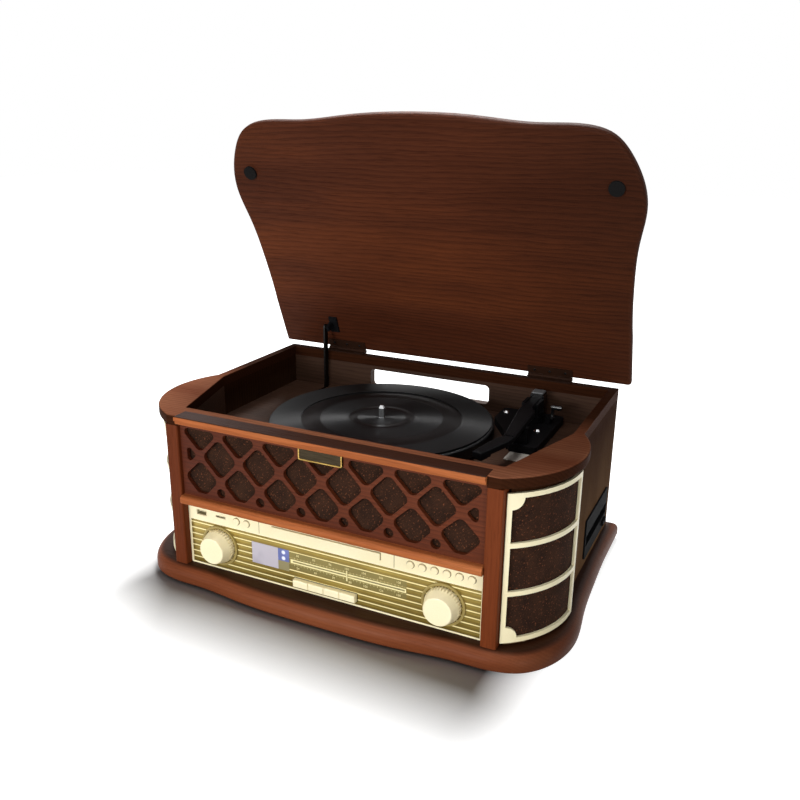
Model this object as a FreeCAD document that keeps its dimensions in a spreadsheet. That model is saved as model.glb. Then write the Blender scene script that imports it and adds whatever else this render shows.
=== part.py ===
"""A wooden music centre with a turntable under its lid, modelled as separate pieces.

The frame: millimetres, +X to the right, +Y to the back, +Z up, with the origin on the
floor under the middle of the plinth. The lid stands open, as it does in use.
"""
import FreeCAD, Part
import math
import os
import Sketcher
from types import SimpleNamespace
from FreeCAD import Placement, Rotation, Vector

# Driving dimensions in millimetres and degrees.
SIZES = {
    # clearances
    "seat_gap": 0.2,
    "running_gap": 0.3,
    "bearing_gap": 0.05,
    "overrun": 2.0,
    # plinth and feet
    "foot_height": 3.0,
    "foot_radius": 10.0,
    "foot_inset_side": 60.0,
    "foot_inset_end": 45.0,
    "plinth_width": 512.0,
    "plinth_depth": 354.0,
    "plinth_thickness": 20.0,
    "plinth_top_round": 11.5,
    "plinth_bottom_round": 3.0,
    # cabinet shell
    "cabinet_width": 462.0,
    "cabinet_depth": 321.0,
    "cabinet_height": 181.0,
    "cabinet_setback": 19.0,
    "wall_thickness": 10.0,
    "rear_thickness": 12.0,
    "rim_thickness": 12.0,
    "rim_edge_round": 2.5,
    # front posts and rails
    "front_opening": 356.0,
    "post_width": 16.5,
    "post_depth": 16.0,
    "post_round": 2.0,
    "top_rail_height": 9.5,
    "top_rail_proud": 5.0,
    "top_rail_step": 2.0,
    "mid_rail_height": 10.0,
    "mid_rail_proud": 4.0,
    "mid_rail_level": 77.0,
    # rounded corner speakers
    "ear_centre_offset": 145.3,
    "ear_centre_setback": 92.2,
    "ear_radius": 103.0,
    "ear_end_angle": 28.0,
    "frame_end_angle": 1.0,
    "frame_overhang": 3.8,
    "frame_thickness": 2.8,
    "frame_bar": 5.0,
    "frame_top_gap": 5.5,
    "frame_bottom_gap": 4.0,
    "frame_filler_radius": 12.0,
    "corner_cloth_thickness": 0.8,
    "corner_baffle_thickness": 5.5,
    "driver_radius": 40.0,
    "driver_hole_radius": 34.0,
    "driver_level": 48.0,
    "driver_flange": 3.0,
    "driver_depth": 38.0,
    "driver_magnet_radius": 24.0,
    "driver_magnet_depth": 14.0,
    "driver_cone_depth": 16.0,
    "driver_cap_radius": 12.0,
    # record well
    "well_front_setback": 26.0,
    "well_front_half": 186.0,
    "well_side_setback": 142.0,
    "well_depth": 50.0,
    "liner_thickness": 5.0,
    "deck_thickness": 9.0,
    "record_slot_width": 171.0,
    "record_slot_offset": -15.5,
    "record_slot_level": 8.0,
    "record_slot_height": 25.0,
    "record_slot_round": 6.0,
    "vent_width": 70.0,
    "vent_height": 4.0,
    "vent_pitch": 10.0,
    "vent_level": 70.0,
    "gland_radius": 6.0,
    "gland_flange": 9.0,
    "gland_flange_depth": 3.0,
    "gland_bore": 3.5,
    "gland_offset": -150.0,
    "gland_level": 25.0,
    # fretwork
    "fret_setback": 4.5,
    "fret_thickness": 5.0,
    "fret_pitch": 50.8,
    "fret_round": 7.0,
    "fret_top_round": 5.0,
    "diamond_half_width": 22.75,
    "lower_half_width": 22.5,
    "lower_flat_half": 6.0,
    "upper_half_width": 26.5,
    "end_half_width": 13.0,
    "fret_border": 8.0,
    "round_radius": 5.5,
    "grille_cloth_thickness": 1.2,
    "badge_width": 51.0,
    "badge_height": 14.0,
    "badge_thickness": 2.0,
    "badge_round": 1.5,
    # control fascia
    "fascia_setback": 9.0,
    "fascia_thickness": 3.0,
    "dial_border": 3.0,
    "dial_bottom": 2.0,
    "dial_top": 55.0,
    "dial_thickness": 1.0,
    "display_left": -93.0,
    "display_split": -59.0,
    "display_right": -45.0,
    "display_bottom": 20.0,
    "display_top": 45.5,
    "track_margin": 5.0,
    "track_right": 93.0,
    "track_level": 33.5,
    "track_height": 1.6,
    "pointer_width": 1.6,
    "pointer_length": 12.0,
    "pointer_gap": 0.4,
    "pointer_proud": 1.0,
    "carriage_width": 12.0,
    "carriage_height": 10.0,
    "carriage_thickness": 3.0,
    # knobs
    "knob_offset": 135.7,
    "knob_level": 30.3,
    "knob_base_radius": 19.5,
    "knob_face_radius": 15.2,
    "knob_proud": 17.5,
    "knob_face_round": 1.5,
    "knob_skirt": 4.0,
    "knob_stem_radius": 3.0,
    "knob_flute_radius": 1.1,
    "bezel_outer_radius": 23.5,
    "bezel_inner_radius": 21.0,
    "bezel_proud": 2.0,
    # piano keys and round buttons
    "key_width": 19.0,
    "key_level": 6.2,
    "key_height": 8.5,
    "key_proud": 5.7,
    "key_round": 1.2,
    "key_travel": 3.0,
    "button_radius": 3.8,
    "button_proud": 1.6,
    "button_round": 0.5,
    "button_travel": 1.2,
    "button_level": 65.0,
    "button_pitch": 13.2,
    "button_right_first": 98.9,
    "button_left_first": -111.9,
    # disc drawer
    "drawer_width": 130.0,
    "drawer_height": 7.1,
    "drawer_level": 62.4,
    "drawer_proud": 1.5,
    "drawer_front_thickness": 5.0,
    "tray_length": 134.0,
    "tray_inset": 1.5,
    "disc_radius": 60.5,
    "disc_recess": 2.5,
    "lens_half_width": 9.0,
    "cage_wall": 1.5,
    # memory sockets
    "memory_offset": -159.5,
    "memory_width": 12.2,
    "memory_height": 4.8,
    "memory_tongue": 1.8,
    "card_offset": -133.4,
    "card_width": 11.8,
    "card_height": 1.6,
    "socket_wall": 0.6,
    "socket_level": 65.5,
    # control board
    "board_gap": 7.0,
    "board_thickness": 1.6,
    "board_boss_radius": 5.0,
    "pot_radius": 9.0,
    "pot_depth": 9.0,
    # platter and its drive
    "platter_offset": -16.0,
    "platter_setback": 173.0,
    "platter_radius": 133.5,
    "platter_rise": 19.0,
    "platter_web": 5.0,
    "platter_skirt": 4.5,
    "platter_skirt_height": 14.0,
    "platter_hub_radius": 12.0,
    "platter_edge_round": 2.0,
    "drum_radius": 60.0,
    "drum_wall": 4.0,
    "drum_height": 10.0,
    "mat_radius": 130.5,
    "mat_thickness": 2.0,
    "mat_ring_inner": 96.0,
    "mat_ring_step": 0.9,
    "shaft_radius": 4.0,
    "spindle_radius": 3.6,
    "spindle_rise": 14.0,
    "pulley_radius": 8.0,
    "pulley_flange": 1.0,
    "pulley_height": 7.0,
    "pulley_distance": 92.0,
    "pulley_bearing": 135.0,
    "pulley_stem_radius": 1.6,
    "belt_thickness": 0.8,
    "belt_width": 4.0,
    "belt_gap": 0.3,
    "motor_radius": 18.0,
    "motor_height": 24.0,
    # tonearm
    "arm_pivot_offset": 139.0,
    "arm_pivot_setback": 273.0,
    "arm_rise": 30.0,
    "arm_knee_forward": 124.0,
    "arm_knee_outward": 11.0,
    "arm_tip_forward": 184.0,
    "arm_tip_inward": 4.0,
    "arm_root_width": 13.0,
    "arm_root_height": 9.0,
    "arm_wide_width": 20.0,
    "arm_wide_forward": 36.0,
    "arm_end_width": 12.0,
    "arm_end_height": 7.5,
    "arm_round": 2.0,
    "arm_tail_length": 16.0,
    "weight_width": 17.0,
    "weight_height": 18.0,
    "weight_length": 15.0,
    "shell_width": 16.0,
    "shell_height": 6.5,
    "shell_tip_width": 11.0,
    "shell_round": 2.0,
    "cartridge_width": 9.0,
    "cartridge_height": 3.6,
    "cartridge_length": 17.0,
    "stylus_radius": 0.7,
    "stylus_length": 1.4,
    "yoke_radius": 14.0,
    "yoke_thickness": 5.0,
    "yoke_cheek": 3.5,
    "yoke_cheek_length": 24.0,
    "yoke_pin_radius": 1.5,
    "yoke_rise": 2.5,
    "yoke_stem_radius": 4.0,
    "yoke_stem_length": 9.0,
    "post_radius": 14.0,
    "base_thickness": 9.0,
    "base_left_reach": 45.0,
    "base_right_reach": 32.0,
    "base_front_reach": 88.0,
    "base_rear_reach": 32.0,
    "base_nose_half": 15.0,
    "base_round": 4.0,
    "rest_forward": 78.0,
    "rest_width": 24.0,
    "rest_depth": 8.0,
    "rest_lip": 3.0,
    "rest_lip_width": 2.0,
    "screw_head_radius": 4.0,
    "screw_head_height": 2.2,
    "screw_shank_radius": 1.8,
    "screw_shank_length": 15.0,
    "cue_offset": 21.0,
    "cue_boss_height": 10.0,
    "cue_boss_thickness": 5.0,
    "cue_boss_depth": 10.0,
    "cue_lever_length": 17.0,
    "cue_lever_width": 6.0,
    "cue_lever_thickness": 3.0,
    "cue_pad_length": 9.0,
    "cue_pin_radius": 1.8,
    # lid, hinges and stay
    "lid_width": 512.0,
    "lid_length": 334.5,
    "lid_thickness": 12.0,
    "lid_round": 4.0,
    "lid_open_angle": 67.5,
    "lid_edge_gap": 3.0,
    "bumper_radius": 8.5,
    "bumper_offset": 226.0,
    "bumper_reach": 259.0,
    "bumper_thickness": 2.7,
    "hinge_centre": 144.5,
    "hinge_length": 57.0,
    "hinge_leaf": 1.2,
    "hinge_leaf_width": 11.0,
    "hinge_barrel_radius": 2.6,
    "hinge_pin_radius": 1.2,
    "hinge_pin_setback": 3.0,
    "hinge_leaf_gap": 0.6,
    "stay_offset": -167.0,
    "stay_thickness": 2.5,
    "stay_width": 8.0,
    "stay_reach": 40.0,
    "stay_foot_thickness": 3.0,
    "stay_foot_width": 9.0,
    "stay_hang": 9.0,
    "stay_pin_radius": 1.5,
    "stay_bracket_gap": 2.0,
    "stay_bracket_width": 12.0,
    "stay_bracket_length": 24.0,
    "stay_bracket_plate": 2.0,
    "stay_slot_margin": 1.0,
    # cassette slot in the right wall
    "cassette_front": 193.0,
    "cassette_width": 108.0,
    "cassette_bottom": 11.0,
    "cassette_height": 49.0,
    "cassette_proud": 2.0,
    "cassette_round": 3.0,
    "tape_width": 102.5,
    "tape_height": 13.0,
    "tape_depth": 58.0,
    "tape_level": 27.0,
    "tape_wall": 2.0,
    "eject_width": 16.0,
    "eject_height": 6.0,
    "eject_proud": 3.0,
    "eject_inset": 8.0,
    "eject_level": 6.0,
    "eject_depth": 12.0,
}

# Outlines as shares: across in half widths, along in lengths from the hinge side.
PLINTH_OUTLINE_SHARES = (
    (0.000, 1.000), (0.390, 0.990), (0.600, 0.973), (0.740, 0.970), (0.860, 0.944),
    (0.945, 0.880), (1.000, 0.749), (0.982, 0.588), (0.966, 0.418), (0.955, 0.200),
)
LID_OUTLINE_SHARES = (
    (0.000, 1.000), (0.313, 0.988), (0.560, 0.969), (0.730, 0.967), (0.865, 0.937),
    (0.945, 0.860), (1.000, 0.703), (0.974, 0.575), (0.955, 0.420), (0.953, 0.200),
)
# Heights of the fretwork's openings as shares of the panel's height, from the bottom up.
FRET_DIAMOND_SHARES = (0.305, 0.588, 0.871)
FRET_LOWER_SHARES = (0.064, 0.272, 0.530)
FRET_UPPER_SHARES = (0.632, 0.947)
FRET_END_SHARES = (0.446, 0.588, 0.730)
FRET_ROUND_SHARE = 0.118
BASE_WAIST_SHARE = 0.5
BASE_SHOULDER_SHARE = 0.1
SHELL_SHOULDER_SHARE = 0.25
BAR_END_SHARE = 0.45
FRAME_PANES = 3
KNOB_FLUTES = 36
UPPER_COUNT = 7
MIDDLE_COUNT = 6
VENT_COUNT = 6

doc = FreeCAD.newDocument("MusicCentre")
sheet = doc.addObject("Spreadsheet::Sheet", "Sizes")
for row, (alias, number) in enumerate(SIZES.items(), start=1):
    sheet.set(f"A{row}", alias)
    sheet.set(f"B{row}", str(number))
    sheet.setAlias(f"B{row}", alias)
doc.recompute()


class Size:
    """A length, angle or share that keeps its sheet formula beside its value."""

    def __init__(self, text, value):
        self.text = text
        self.value = value

    def __add__(self, other):
        other = as_size(other)
        return Size(f"({self.text} + {other.text})", self.value + other.value)

    def __radd__(self, other):
        return as_size(other) + self

    def __sub__(self, other):
        other = as_size(other)
        return Size(f"({self.text} - {other.text})", self.value - other.value)

    def __rsub__(self, other):
        return as_size(other) - self

    def __mul__(self, other):
        other = as_size(other)
        return Size(f"({self.text} * {other.text})", self.value * other.value)

    def __rmul__(self, other):
        return self * other

    def __truediv__(self, other):
        other = as_size(other)
        return Size(f"({self.text} / {other.text})", self.value / other.value)

    def __neg__(self):
        return Size(f"(0 - {self.text})", -self.value)


def as_size(value):
    """Give a plain number the form of a size."""
    if isinstance(value, Size):
        return value
    return Size(repr(float(value)), float(value))


def cell(alias):
    """Read one driving dimension from the sheet."""
    return Size(f"Sizes.{alias}", float(sheet.get(alias)))


s = SimpleNamespace(**{alias: cell(alias) for alias in SIZES})


def sine(angle):
    return Size(f"sin({angle.text})", math.sin(math.radians(angle.value)))


def cosine(angle):
    return Size(f"cos({angle.text})", math.cos(math.radians(angle.value)))


def arc_cosine(ratio):
    return Size(f"(acos({ratio.text}) / 1 deg)", math.degrees(math.acos(ratio.value)))


def arc_sine(ratio):
    return Size(f"(asin({ratio.text}) / 1 deg)", math.degrees(math.asin(ratio.value)))


def root(square):
    return Size(f"sqrt({square.text})", math.sqrt(square.value))


def bind(thing, formulas):
    """Tie properties of an object to formulas of the sheet."""
    for prop, size in formulas.items():
        thing.setExpression(prop, as_size(size).text)
    return thing


def place(thing, x=0, y=0, z=0):
    """Move an object to a point given in sizes."""
    return bind(thing, {"Placement.Base.x": x, "Placement.Base.y": y, "Placement.Base.z": z})


def turn(thing, axis, angle):
    """Turn an object about an axis through its own origin."""
    thing.Placement = Placement(thing.Placement.Base, Rotation(axis, as_size(angle).value))
    return bind(thing, {"Placement.Rotation.Angle": angle})


X_AXIS = Vector(1, 0, 0)
Y_AXIS = Vector(0, 1, 0)
Z_AXIS = Vector(0, 0, 1)
ALONG = {
    "X": Rotation(Y_AXIS, 90),
    "Y": Rotation(X_AXIS, -90),
    "Z": Rotation(),
}


def box(name, x, y, z):
    """Make a block between pairs of coordinates."""
    block = doc.addObject("Part::Box", name)
    bind(block, {"Length": x[1] - x[0], "Width": y[1] - y[0], "Height": z[1] - z[0]})
    return place(block, x[0], y[0], z[0])


def cylinder(name, along, radius, span, centre):
    """Make a round bar along an axis between two coordinates of it."""
    bar = doc.addObject("Part::Cylinder", name)
    bar.Placement = Placement(Vector(), ALONG[along])
    bind(bar, {"Radius": radius, "Height": span[1] - span[0]})
    place_at = {
        "X": (span[0], centre[0], centre[1]),
        "Y": (centre[0], span[0], centre[1]),
        "Z": (centre[0], centre[1], span[0]),
    }
    return place(bar, *place_at[along])


def sector(name, radius, angles, z):
    """Make a slice of a round bar about the Z axis between two angles."""
    bar = doc.addObject("Part::Cylinder", name)
    bind(bar, {"Radius": radius, "Height": z[1] - z[0], "Angle": angles[1] - angles[0]})
    place(bar, z=z[0])
    return turn(bar, Z_AXIS, angles[0])


def cut(name, base, *tools):
    """Take tools away from a base."""
    piece = doc.addObject("Part::Cut", name)
    piece.Base = base
    piece.Tool = tools[0] if len(tools) == 1 else fuse(name + "_tools", *tools)
    return piece


def fuse(name, *pieces):
    """Join pieces into one."""
    whole = doc.addObject("Part::MultiFuse", name)
    whole.Shapes = list(pieces)
    return whole


def common(name, first, second):
    """Keep what two pieces share."""
    piece = doc.addObject("Part::Common", name)
    piece.Base = first
    piece.Tool = second
    return piece


def group(name, *pieces):
    """Keep like pieces together as separate solids."""
    bundle = doc.addObject("Part::Compound", name)
    bundle.Links = list(pieces)
    return bundle


def mirrored(name, source):
    """Make the left-hand twin of a right-hand piece."""
    twin = doc.addObject("Part::Mirroring", name)
    twin.Source = source
    twin.Normal = X_AXIS
    return twin


def copy_at(name, source, x=0, y=0, z=0):
    """Repeat a piece at another place."""
    link = doc.addObject("Part::Compound", name)
    link.Links = [source]
    return place(link, x, y, z)


def new_body(name):
    return doc.addObject("PartDesign::Body", name)


def origin_item(body, role):
    """Find a plane or axis of a body's own origin."""
    return next(item for item in body.Origin.OriginFeatures if item.Role == role)


def sketch(body, name, plane, level=0):
    """Start a sketch on an origin plane, moved along the plane's normal to a level."""
    drawing = body.newObject("Sketcher::SketchObject", name)
    drawing.AttachmentSupport = [(origin_item(body, plane + "_Plane"), "")]
    drawing.MapMode = "FlatFace"
    offset = -as_size(level) if plane == "XZ" else as_size(level)
    return bind(drawing, {"AttachmentOffset.Base.z": offset})


def fix_point(drawing, geometry, position, point):
    """Tie a point of a sketch to its two coordinates."""
    for kind, size in zip(("DistanceX", "DistanceY"), point):
        size = as_size(size)
        constraint = Sketcher.Constraint(kind, -1, 1, geometry, position, size.value)
        index = drawing.addConstraint(constraint)
        drawing.setExpression(f"Constraints[{index}]", size.text)


def draw_circle(drawing, centre, radius):
    """Add a circle tied to its centre and radius."""
    middle = Vector(as_size(centre[0]).value, as_size(centre[1]).value, 0)
    index = drawing.addGeometry(Part.Circle(middle, Z_AXIS, radius.value), False)
    fix_point(drawing, index, 3, centre)
    fix_radius(drawing, index, radius)


def fix_radius(drawing, geometry, radius):
    index = drawing.addConstraint(Sketcher.Constraint("Radius", geometry, radius.value))
    drawing.setExpression(f"Constraints[{index}]", radius.text)


def draw_outline(drawing, corners, rounds=None):
    """Add a closed outline through corners, each one sharp or rounded.

    Args:
        corners: coordinate pairs in order round the outline.
        rounds: one radius for every corner, or a dictionary from corner index to radius.
    """
    count = len(corners)
    points = [Vector(as_size(u).value, as_size(v).value, 0) for u, v in corners]
    lines = [
        drawing.addGeometry(Part.LineSegment(points[i], points[(i + 1) % count]), False)
        for i in range(count)
    ]
    for i in range(count):
        follower = lines[(i + 1) % count]
        drawing.addConstraint(Sketcher.Constraint("Coincident", lines[i], 2, follower, 1))
    for line, corner in zip(lines, corners):
        fix_point(drawing, line, 1, corner)
    if rounds is None:
        return
    if isinstance(rounds, Size):
        rounds = {i: rounds for i in range(count)}
    for i, radius in rounds.items():
        drawing.fillet(lines[i], 1, radius.value, True, True)
        arc = max(k for k, g in enumerate(drawing.Geometry) if isinstance(g, Part.ArcOfCircle))
        fix_radius(drawing, arc, radius)


def rectangle(x, y):
    """List the corners of a rectangle between pairs of coordinates."""
    return [(x[0], y[0]), (x[1], y[0]), (x[1], y[1]), (x[0], y[1])]


def pad(body, drawing, length, backwards=False, both_ways=False):
    """Raise a sketch into a solid along its normal."""
    feature = body.newObject("PartDesign::Pad", drawing.Name + "_pad")
    feature.Profile = drawing
    feature.Reversed = backwards
    feature.Midplane = both_ways
    bind(feature, {"Length": length})
    return feature


def pocket(body, drawing, length, backwards=False):
    """Sink a sketch into the solid against its normal, or along it when backwards."""
    before = body_volume(body)
    feature = body.newObject("PartDesign::Pocket", drawing.Name + "_pocket")
    feature.Profile = drawing
    feature.Reversed = backwards
    bind(feature, {"Length": length})
    doc.recompute()
    if body.Shape.Volume >= before:
        raise RuntimeError(f"{feature.Name} cuts nothing")
    return feature


def body_volume(body):
    doc.recompute()
    return body.Shape.Volume


def revolve(body, drawing, axis="V_Axis"):
    """Turn a profile once round an axis of its sketch."""
    feature = body.newObject("PartDesign::Revolution", drawing.Name + "_turned")
    feature.Profile = drawing
    feature.ReferenceAxis = (drawing, [axis])
    feature.Angle = 360
    return feature


def row_of(body, feature, axis, length, count):
    """Repeat a feature in a row over a length."""
    pattern = body.newObject("PartDesign::LinearPattern", feature.Name + "_row")
    pattern.Originals = [feature]
    pattern.Direction = (origin_item(body, axis + "_Axis"), [""])
    pattern.Occurrences = count
    bind(pattern, {"Length": length})
    body.Tip = pattern
    return pattern


def ring_of(body, feature, axis, count):
    """Repeat a feature evenly round an axis."""
    pattern = body.newObject("PartDesign::PolarPattern", feature.Name + "_ring")
    pattern.Originals = [feature]
    pattern.Axis = (origin_item(body, axis + "_Axis"), [""])
    pattern.Angle = 360
    pattern.Occurrences = count
    body.Tip = pattern
    return pattern


def round_edges(body, feature, chosen, radius, kind="Fillet"):
    """Round or bevel the edges of a feature that a test picks out."""
    doc.recompute()
    names = [f"Edge{i}" for i, edge in enumerate(feature.Shape.Edges, 1) if chosen(edge)]
    dressing = body.newObject("PartDesign::" + kind, feature.Name + "_" + kind.lower())
    dressing.Base = (feature, names)
    bind(dressing, {"Radius" if kind == "Fillet" else "Size": radius})
    return dressing


def lies_at(edge, axis, level):
    """Tell whether an edge lies in the plane where a coordinate has a given size."""
    low = getattr(edge.BoundBox, axis + "Min")
    high = getattr(edge.BoundBox, axis + "Max")
    return max(abs(low - level.value), abs(high - level.value)) < s.seat_gap.value / 10


NODES = []


def node(thing, label):
    """Name a finished sub-part."""
    thing.Label = label
    NODES.append(thing)
    return thing


def rounded(name, base, chosen, radius):
    """Round the edges of a Part solid that a test picks out."""
    doc.recompute()
    piece = doc.addObject("Part::Fillet", name)
    piece.Base = base
    edges = enumerate(base.Shape.Edges, 1)
    piece.Edges = [(i, radius.value, radius.value) for i, edge in edges if chosen(edge)]
    return piece


# Levels and places that several pieces share.
plinth_top = s.foot_height + s.plinth_thickness
front_y = s.cabinet_setback - s.plinth_depth / 2
rear_y = front_y + s.cabinet_depth
rear_inner = rear_y - s.rear_thickness
outer_half = s.cabinet_width / 2
inner_half = outer_half - s.wall_thickness
rim_top = plinth_top + s.cabinet_height
rim_bottom = rim_top - s.rim_thickness
post_inner = s.front_opening / 2
post_outer = post_inner + s.post_width
ear_x = s.ear_centre_offset
ear_y = front_y + s.ear_centre_setback
frame_outer = s.ear_radius - s.frame_overhang
frame_inner = frame_outer - s.frame_thickness
corner_cloth_outer = frame_inner - s.seat_gap
corner_cloth_inner = corner_cloth_outer - s.corner_cloth_thickness
baffle_outer = corner_cloth_inner - s.seat_gap
baffle_inner = baffle_outer - s.corner_baffle_thickness
wall_front = ear_y + frame_outer * sine(s.ear_end_angle) + s.seat_gap
deck_top = rim_top - s.well_depth
deck_bottom = deck_top - s.deck_thickness
rail_half = post_inner - s.seat_gap
mid_rail_bottom = plinth_top + s.mid_rail_level
mid_rail_top = mid_rail_bottom + s.mid_rail_height
top_rail_bottom = rim_top - s.top_rail_height
well_front = front_y + s.well_front_setback
well_side = front_y + s.well_side_setback


def serpentine(half_width, length, shares, hinge_y, z):
    """Raise a board whose smooth edge runs through shares of its half width and length."""
    right = [Vector(half_width * a, hinge_y - length * b, z[0]) for a, b in shares]
    left = [Vector(-p.x, p.y, p.z) for p in reversed(right[1:])]
    curve = Part.BSplineCurve()
    curve.interpolate(left + right)
    corner_right = Vector(right[-1].x, hinge_y, z[0])
    corner_left = Vector(-right[-1].x, hinge_y, z[0])
    edges = [
        curve.toShape(),
        Part.makeLine(right[-1], corner_right),
        Part.makeLine(corner_right, corner_left),
        Part.makeLine(corner_left, left[0]),
    ]
    return Part.Face(Part.Wire(edges)).extrude(Vector(0, 0, z[1] - z[0]))


def level_edges(shape, level):
    """List the edges of a shape that lie at one height."""
    height = as_size(level)
    return [edge for edge in shape.Edges if lies_at(edge, "Z", height)]


def build_plinth():
    """The moulded board that everything stands on, and its feet."""
    board = serpentine(
        s.plinth_width.value / 2, s.plinth_depth.value, PLINTH_OUTLINE_SHARES,
        s.plinth_depth.value / 2, (s.foot_height.value, plinth_top.value),
    )
    board = board.makeFillet(s.plinth_top_round.value, level_edges(board, plinth_top))
    board = board.makeFillet(s.plinth_bottom_round.value, level_edges(board, s.foot_height))
    plinth = doc.addObject("Part::Feature", "plinth")
    plinth.Shape = board
    node(plinth, "plinth")
    foot_x = s.plinth_width / 2 - s.foot_inset_side
    foot_y = s.plinth_depth / 2 - s.foot_inset_end
    feet = [
        cylinder(f"foot_{i}", "Z", s.foot_radius, (as_size(0), s.foot_height), (x, y))
        for i, (x, y) in enumerate(rectangle((-foot_x, foot_x), (-foot_y, foot_y)))
    ]
    node(group("feet", *feet), "rubber_feet")


def cassette_span():
    """Give the cassette bezel's place along Y and Z."""
    y = front_y + s.cassette_front
    z = plinth_top + s.cassette_bottom
    return (y, y + s.cassette_width), (z, z + s.cassette_height)


def build_walls():
    """The two side walls, the right one open for the cassette bezel, and the rear panel."""
    y = (wall_front, rear_y)
    z = (plinth_top, rim_bottom)
    left = box("left_board", (-outer_half, -inner_half), y, z)
    right = box("right_board", (inner_half, outer_half), y, z)
    span_y, span_z = cassette_span()
    window = box(
        "cassette_window", (inner_half - s.overrun, outer_half + s.overrun),
        (span_y[0] + s.tape_wall, span_y[1] - s.tape_wall),
        (span_z[0] + s.tape_wall, span_z[1] - s.tape_wall),
    )
    node(group("walls", left, cut("right_wall", right, window)), "side_walls")

    panel = new_body("rear_board")
    outline = sketch(panel, "rear_outline", "XZ", rear_inner)
    draw_outline(outline, rectangle((-inner_half, inner_half), z))
    pad(panel, outline, s.rear_thickness, backwards=True)
    slot = sketch(panel, "record_slot", "XZ", rear_inner)
    slot_z = deck_top + s.record_slot_level
    slot_half = s.record_slot_width / 2
    slot_x = (s.record_slot_offset - slot_half, s.record_slot_offset + slot_half)
    draw_outline(slot, rectangle(slot_x, (slot_z, slot_z + s.record_slot_height)), s.record_slot_round)
    pocket(panel, slot, s.rear_thickness)
    gland = sketch(panel, "gland_hole", "XZ", rear_inner)
    draw_circle(gland, (s.gland_offset, plinth_top + s.gland_level), s.gland_radius + s.bearing_gap)
    pocket(panel, gland, s.rear_thickness)
    vent = sketch(panel, "vent", "XZ", rear_inner)
    vent_z = plinth_top + s.vent_level
    half = s.vent_width / 2
    draw_outline(vent, rectangle((-half, half), (vent_z, vent_z + s.vent_height)))
    first = pocket(panel, vent, s.rear_thickness)
    row_of(panel, first, "Z", s.vent_pitch * (VENT_COUNT - 1), VENT_COUNT)
    node(panel, "rear_panel")

    bush = new_body("gland_bush")
    profile = sketch(bush, "gland_profile", "XZ")
    flange_out = s.gland_flange_depth
    depth = s.rear_thickness
    draw_outline(profile, [
        (s.gland_bore, -depth), (s.gland_radius, -depth), (s.gland_radius, 0),
        (s.gland_flange, 0), (s.gland_flange, flange_out), (s.gland_bore, flange_out),
    ])
    revolve(bush, profile)
    bush.Placement = Placement(Vector(), ALONG["Y"])
    place(bush, s.gland_offset, rear_y, plinth_top + s.gland_level)
    node(bush, "cord_gland")


def build_posts_and_rails():
    """The two front posts and the two rails between them."""
    post = new_body("right_post_body")
    outline = sketch(post, "post_outline", "XY", plinth_top)
    x = (post_inner, post_outer)
    y = (front_y, front_y + s.post_depth)
    draw_outline(outline, rectangle(x, y), {0: s.post_round, 1: s.post_round})
    pad(post, outline, rim_bottom - plinth_top)
    node(group("posts", post, mirrored("left_post", post)), "front_posts")

    top = new_body("top_rail_body")
    outline = sketch(top, "top_rail_outline", "YZ")
    back = front_y + s.post_depth
    nose = front_y - s.top_rail_proud
    shelf = top_rail_bottom + s.top_rail_height / 2
    step = nose + s.top_rail_step
    draw_outline(outline, [
        (back, top_rail_bottom), (step, top_rail_bottom), (step, shelf), (nose, shelf),
        (nose, rim_top), (back, rim_top),
    ], {1: s.top_rail_step, 4: s.top_rail_step})
    pad(top, outline, rail_half * 2, both_ways=True)

    middle = new_body("mid_rail_body")
    outline = sketch(middle, "mid_rail_outline", "YZ")
    nose = front_y - s.mid_rail_proud
    round_over = s.mid_rail_proud
    draw_outline(outline, [
        (back, mid_rail_bottom), (nose, mid_rail_bottom), (nose, mid_rail_top), (back, mid_rail_top),
    ], {1: round_over, 2: round_over})
    pad(middle, outline, rail_half * 2, both_ways=True)
    node(group("rails", top, middle), "front_rails")


def ear_start(inner_radius):
    """Give the angle where a curved corner piece meets the front post."""
    return -arc_cosine((post_outer + s.seat_gap - ear_x) / inner_radius)


def ear_ring(name, inner, outer, z, angles):
    """Make a slice of a ring about the Z axis."""
    disc = sector(name + "_disc", outer, angles, z)
    bore = cylinder(name + "_bore", "Z", inner, (z[0] - s.overrun, z[1] + s.overrun), (0, 0))
    return cut(name, disc, bore)


def turned(name, source, angle):
    """Swing a piece about the Z axis."""
    swung = copy_at(name, source)
    return turn(swung, Z_AXIS, angle)


def pair(name, piece):
    """Set a corner piece in the right corner and its twin in the left one."""
    place(piece, ear_x, ear_y)
    return group(name, piece, mirrored(name + "_left", piece))


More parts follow.
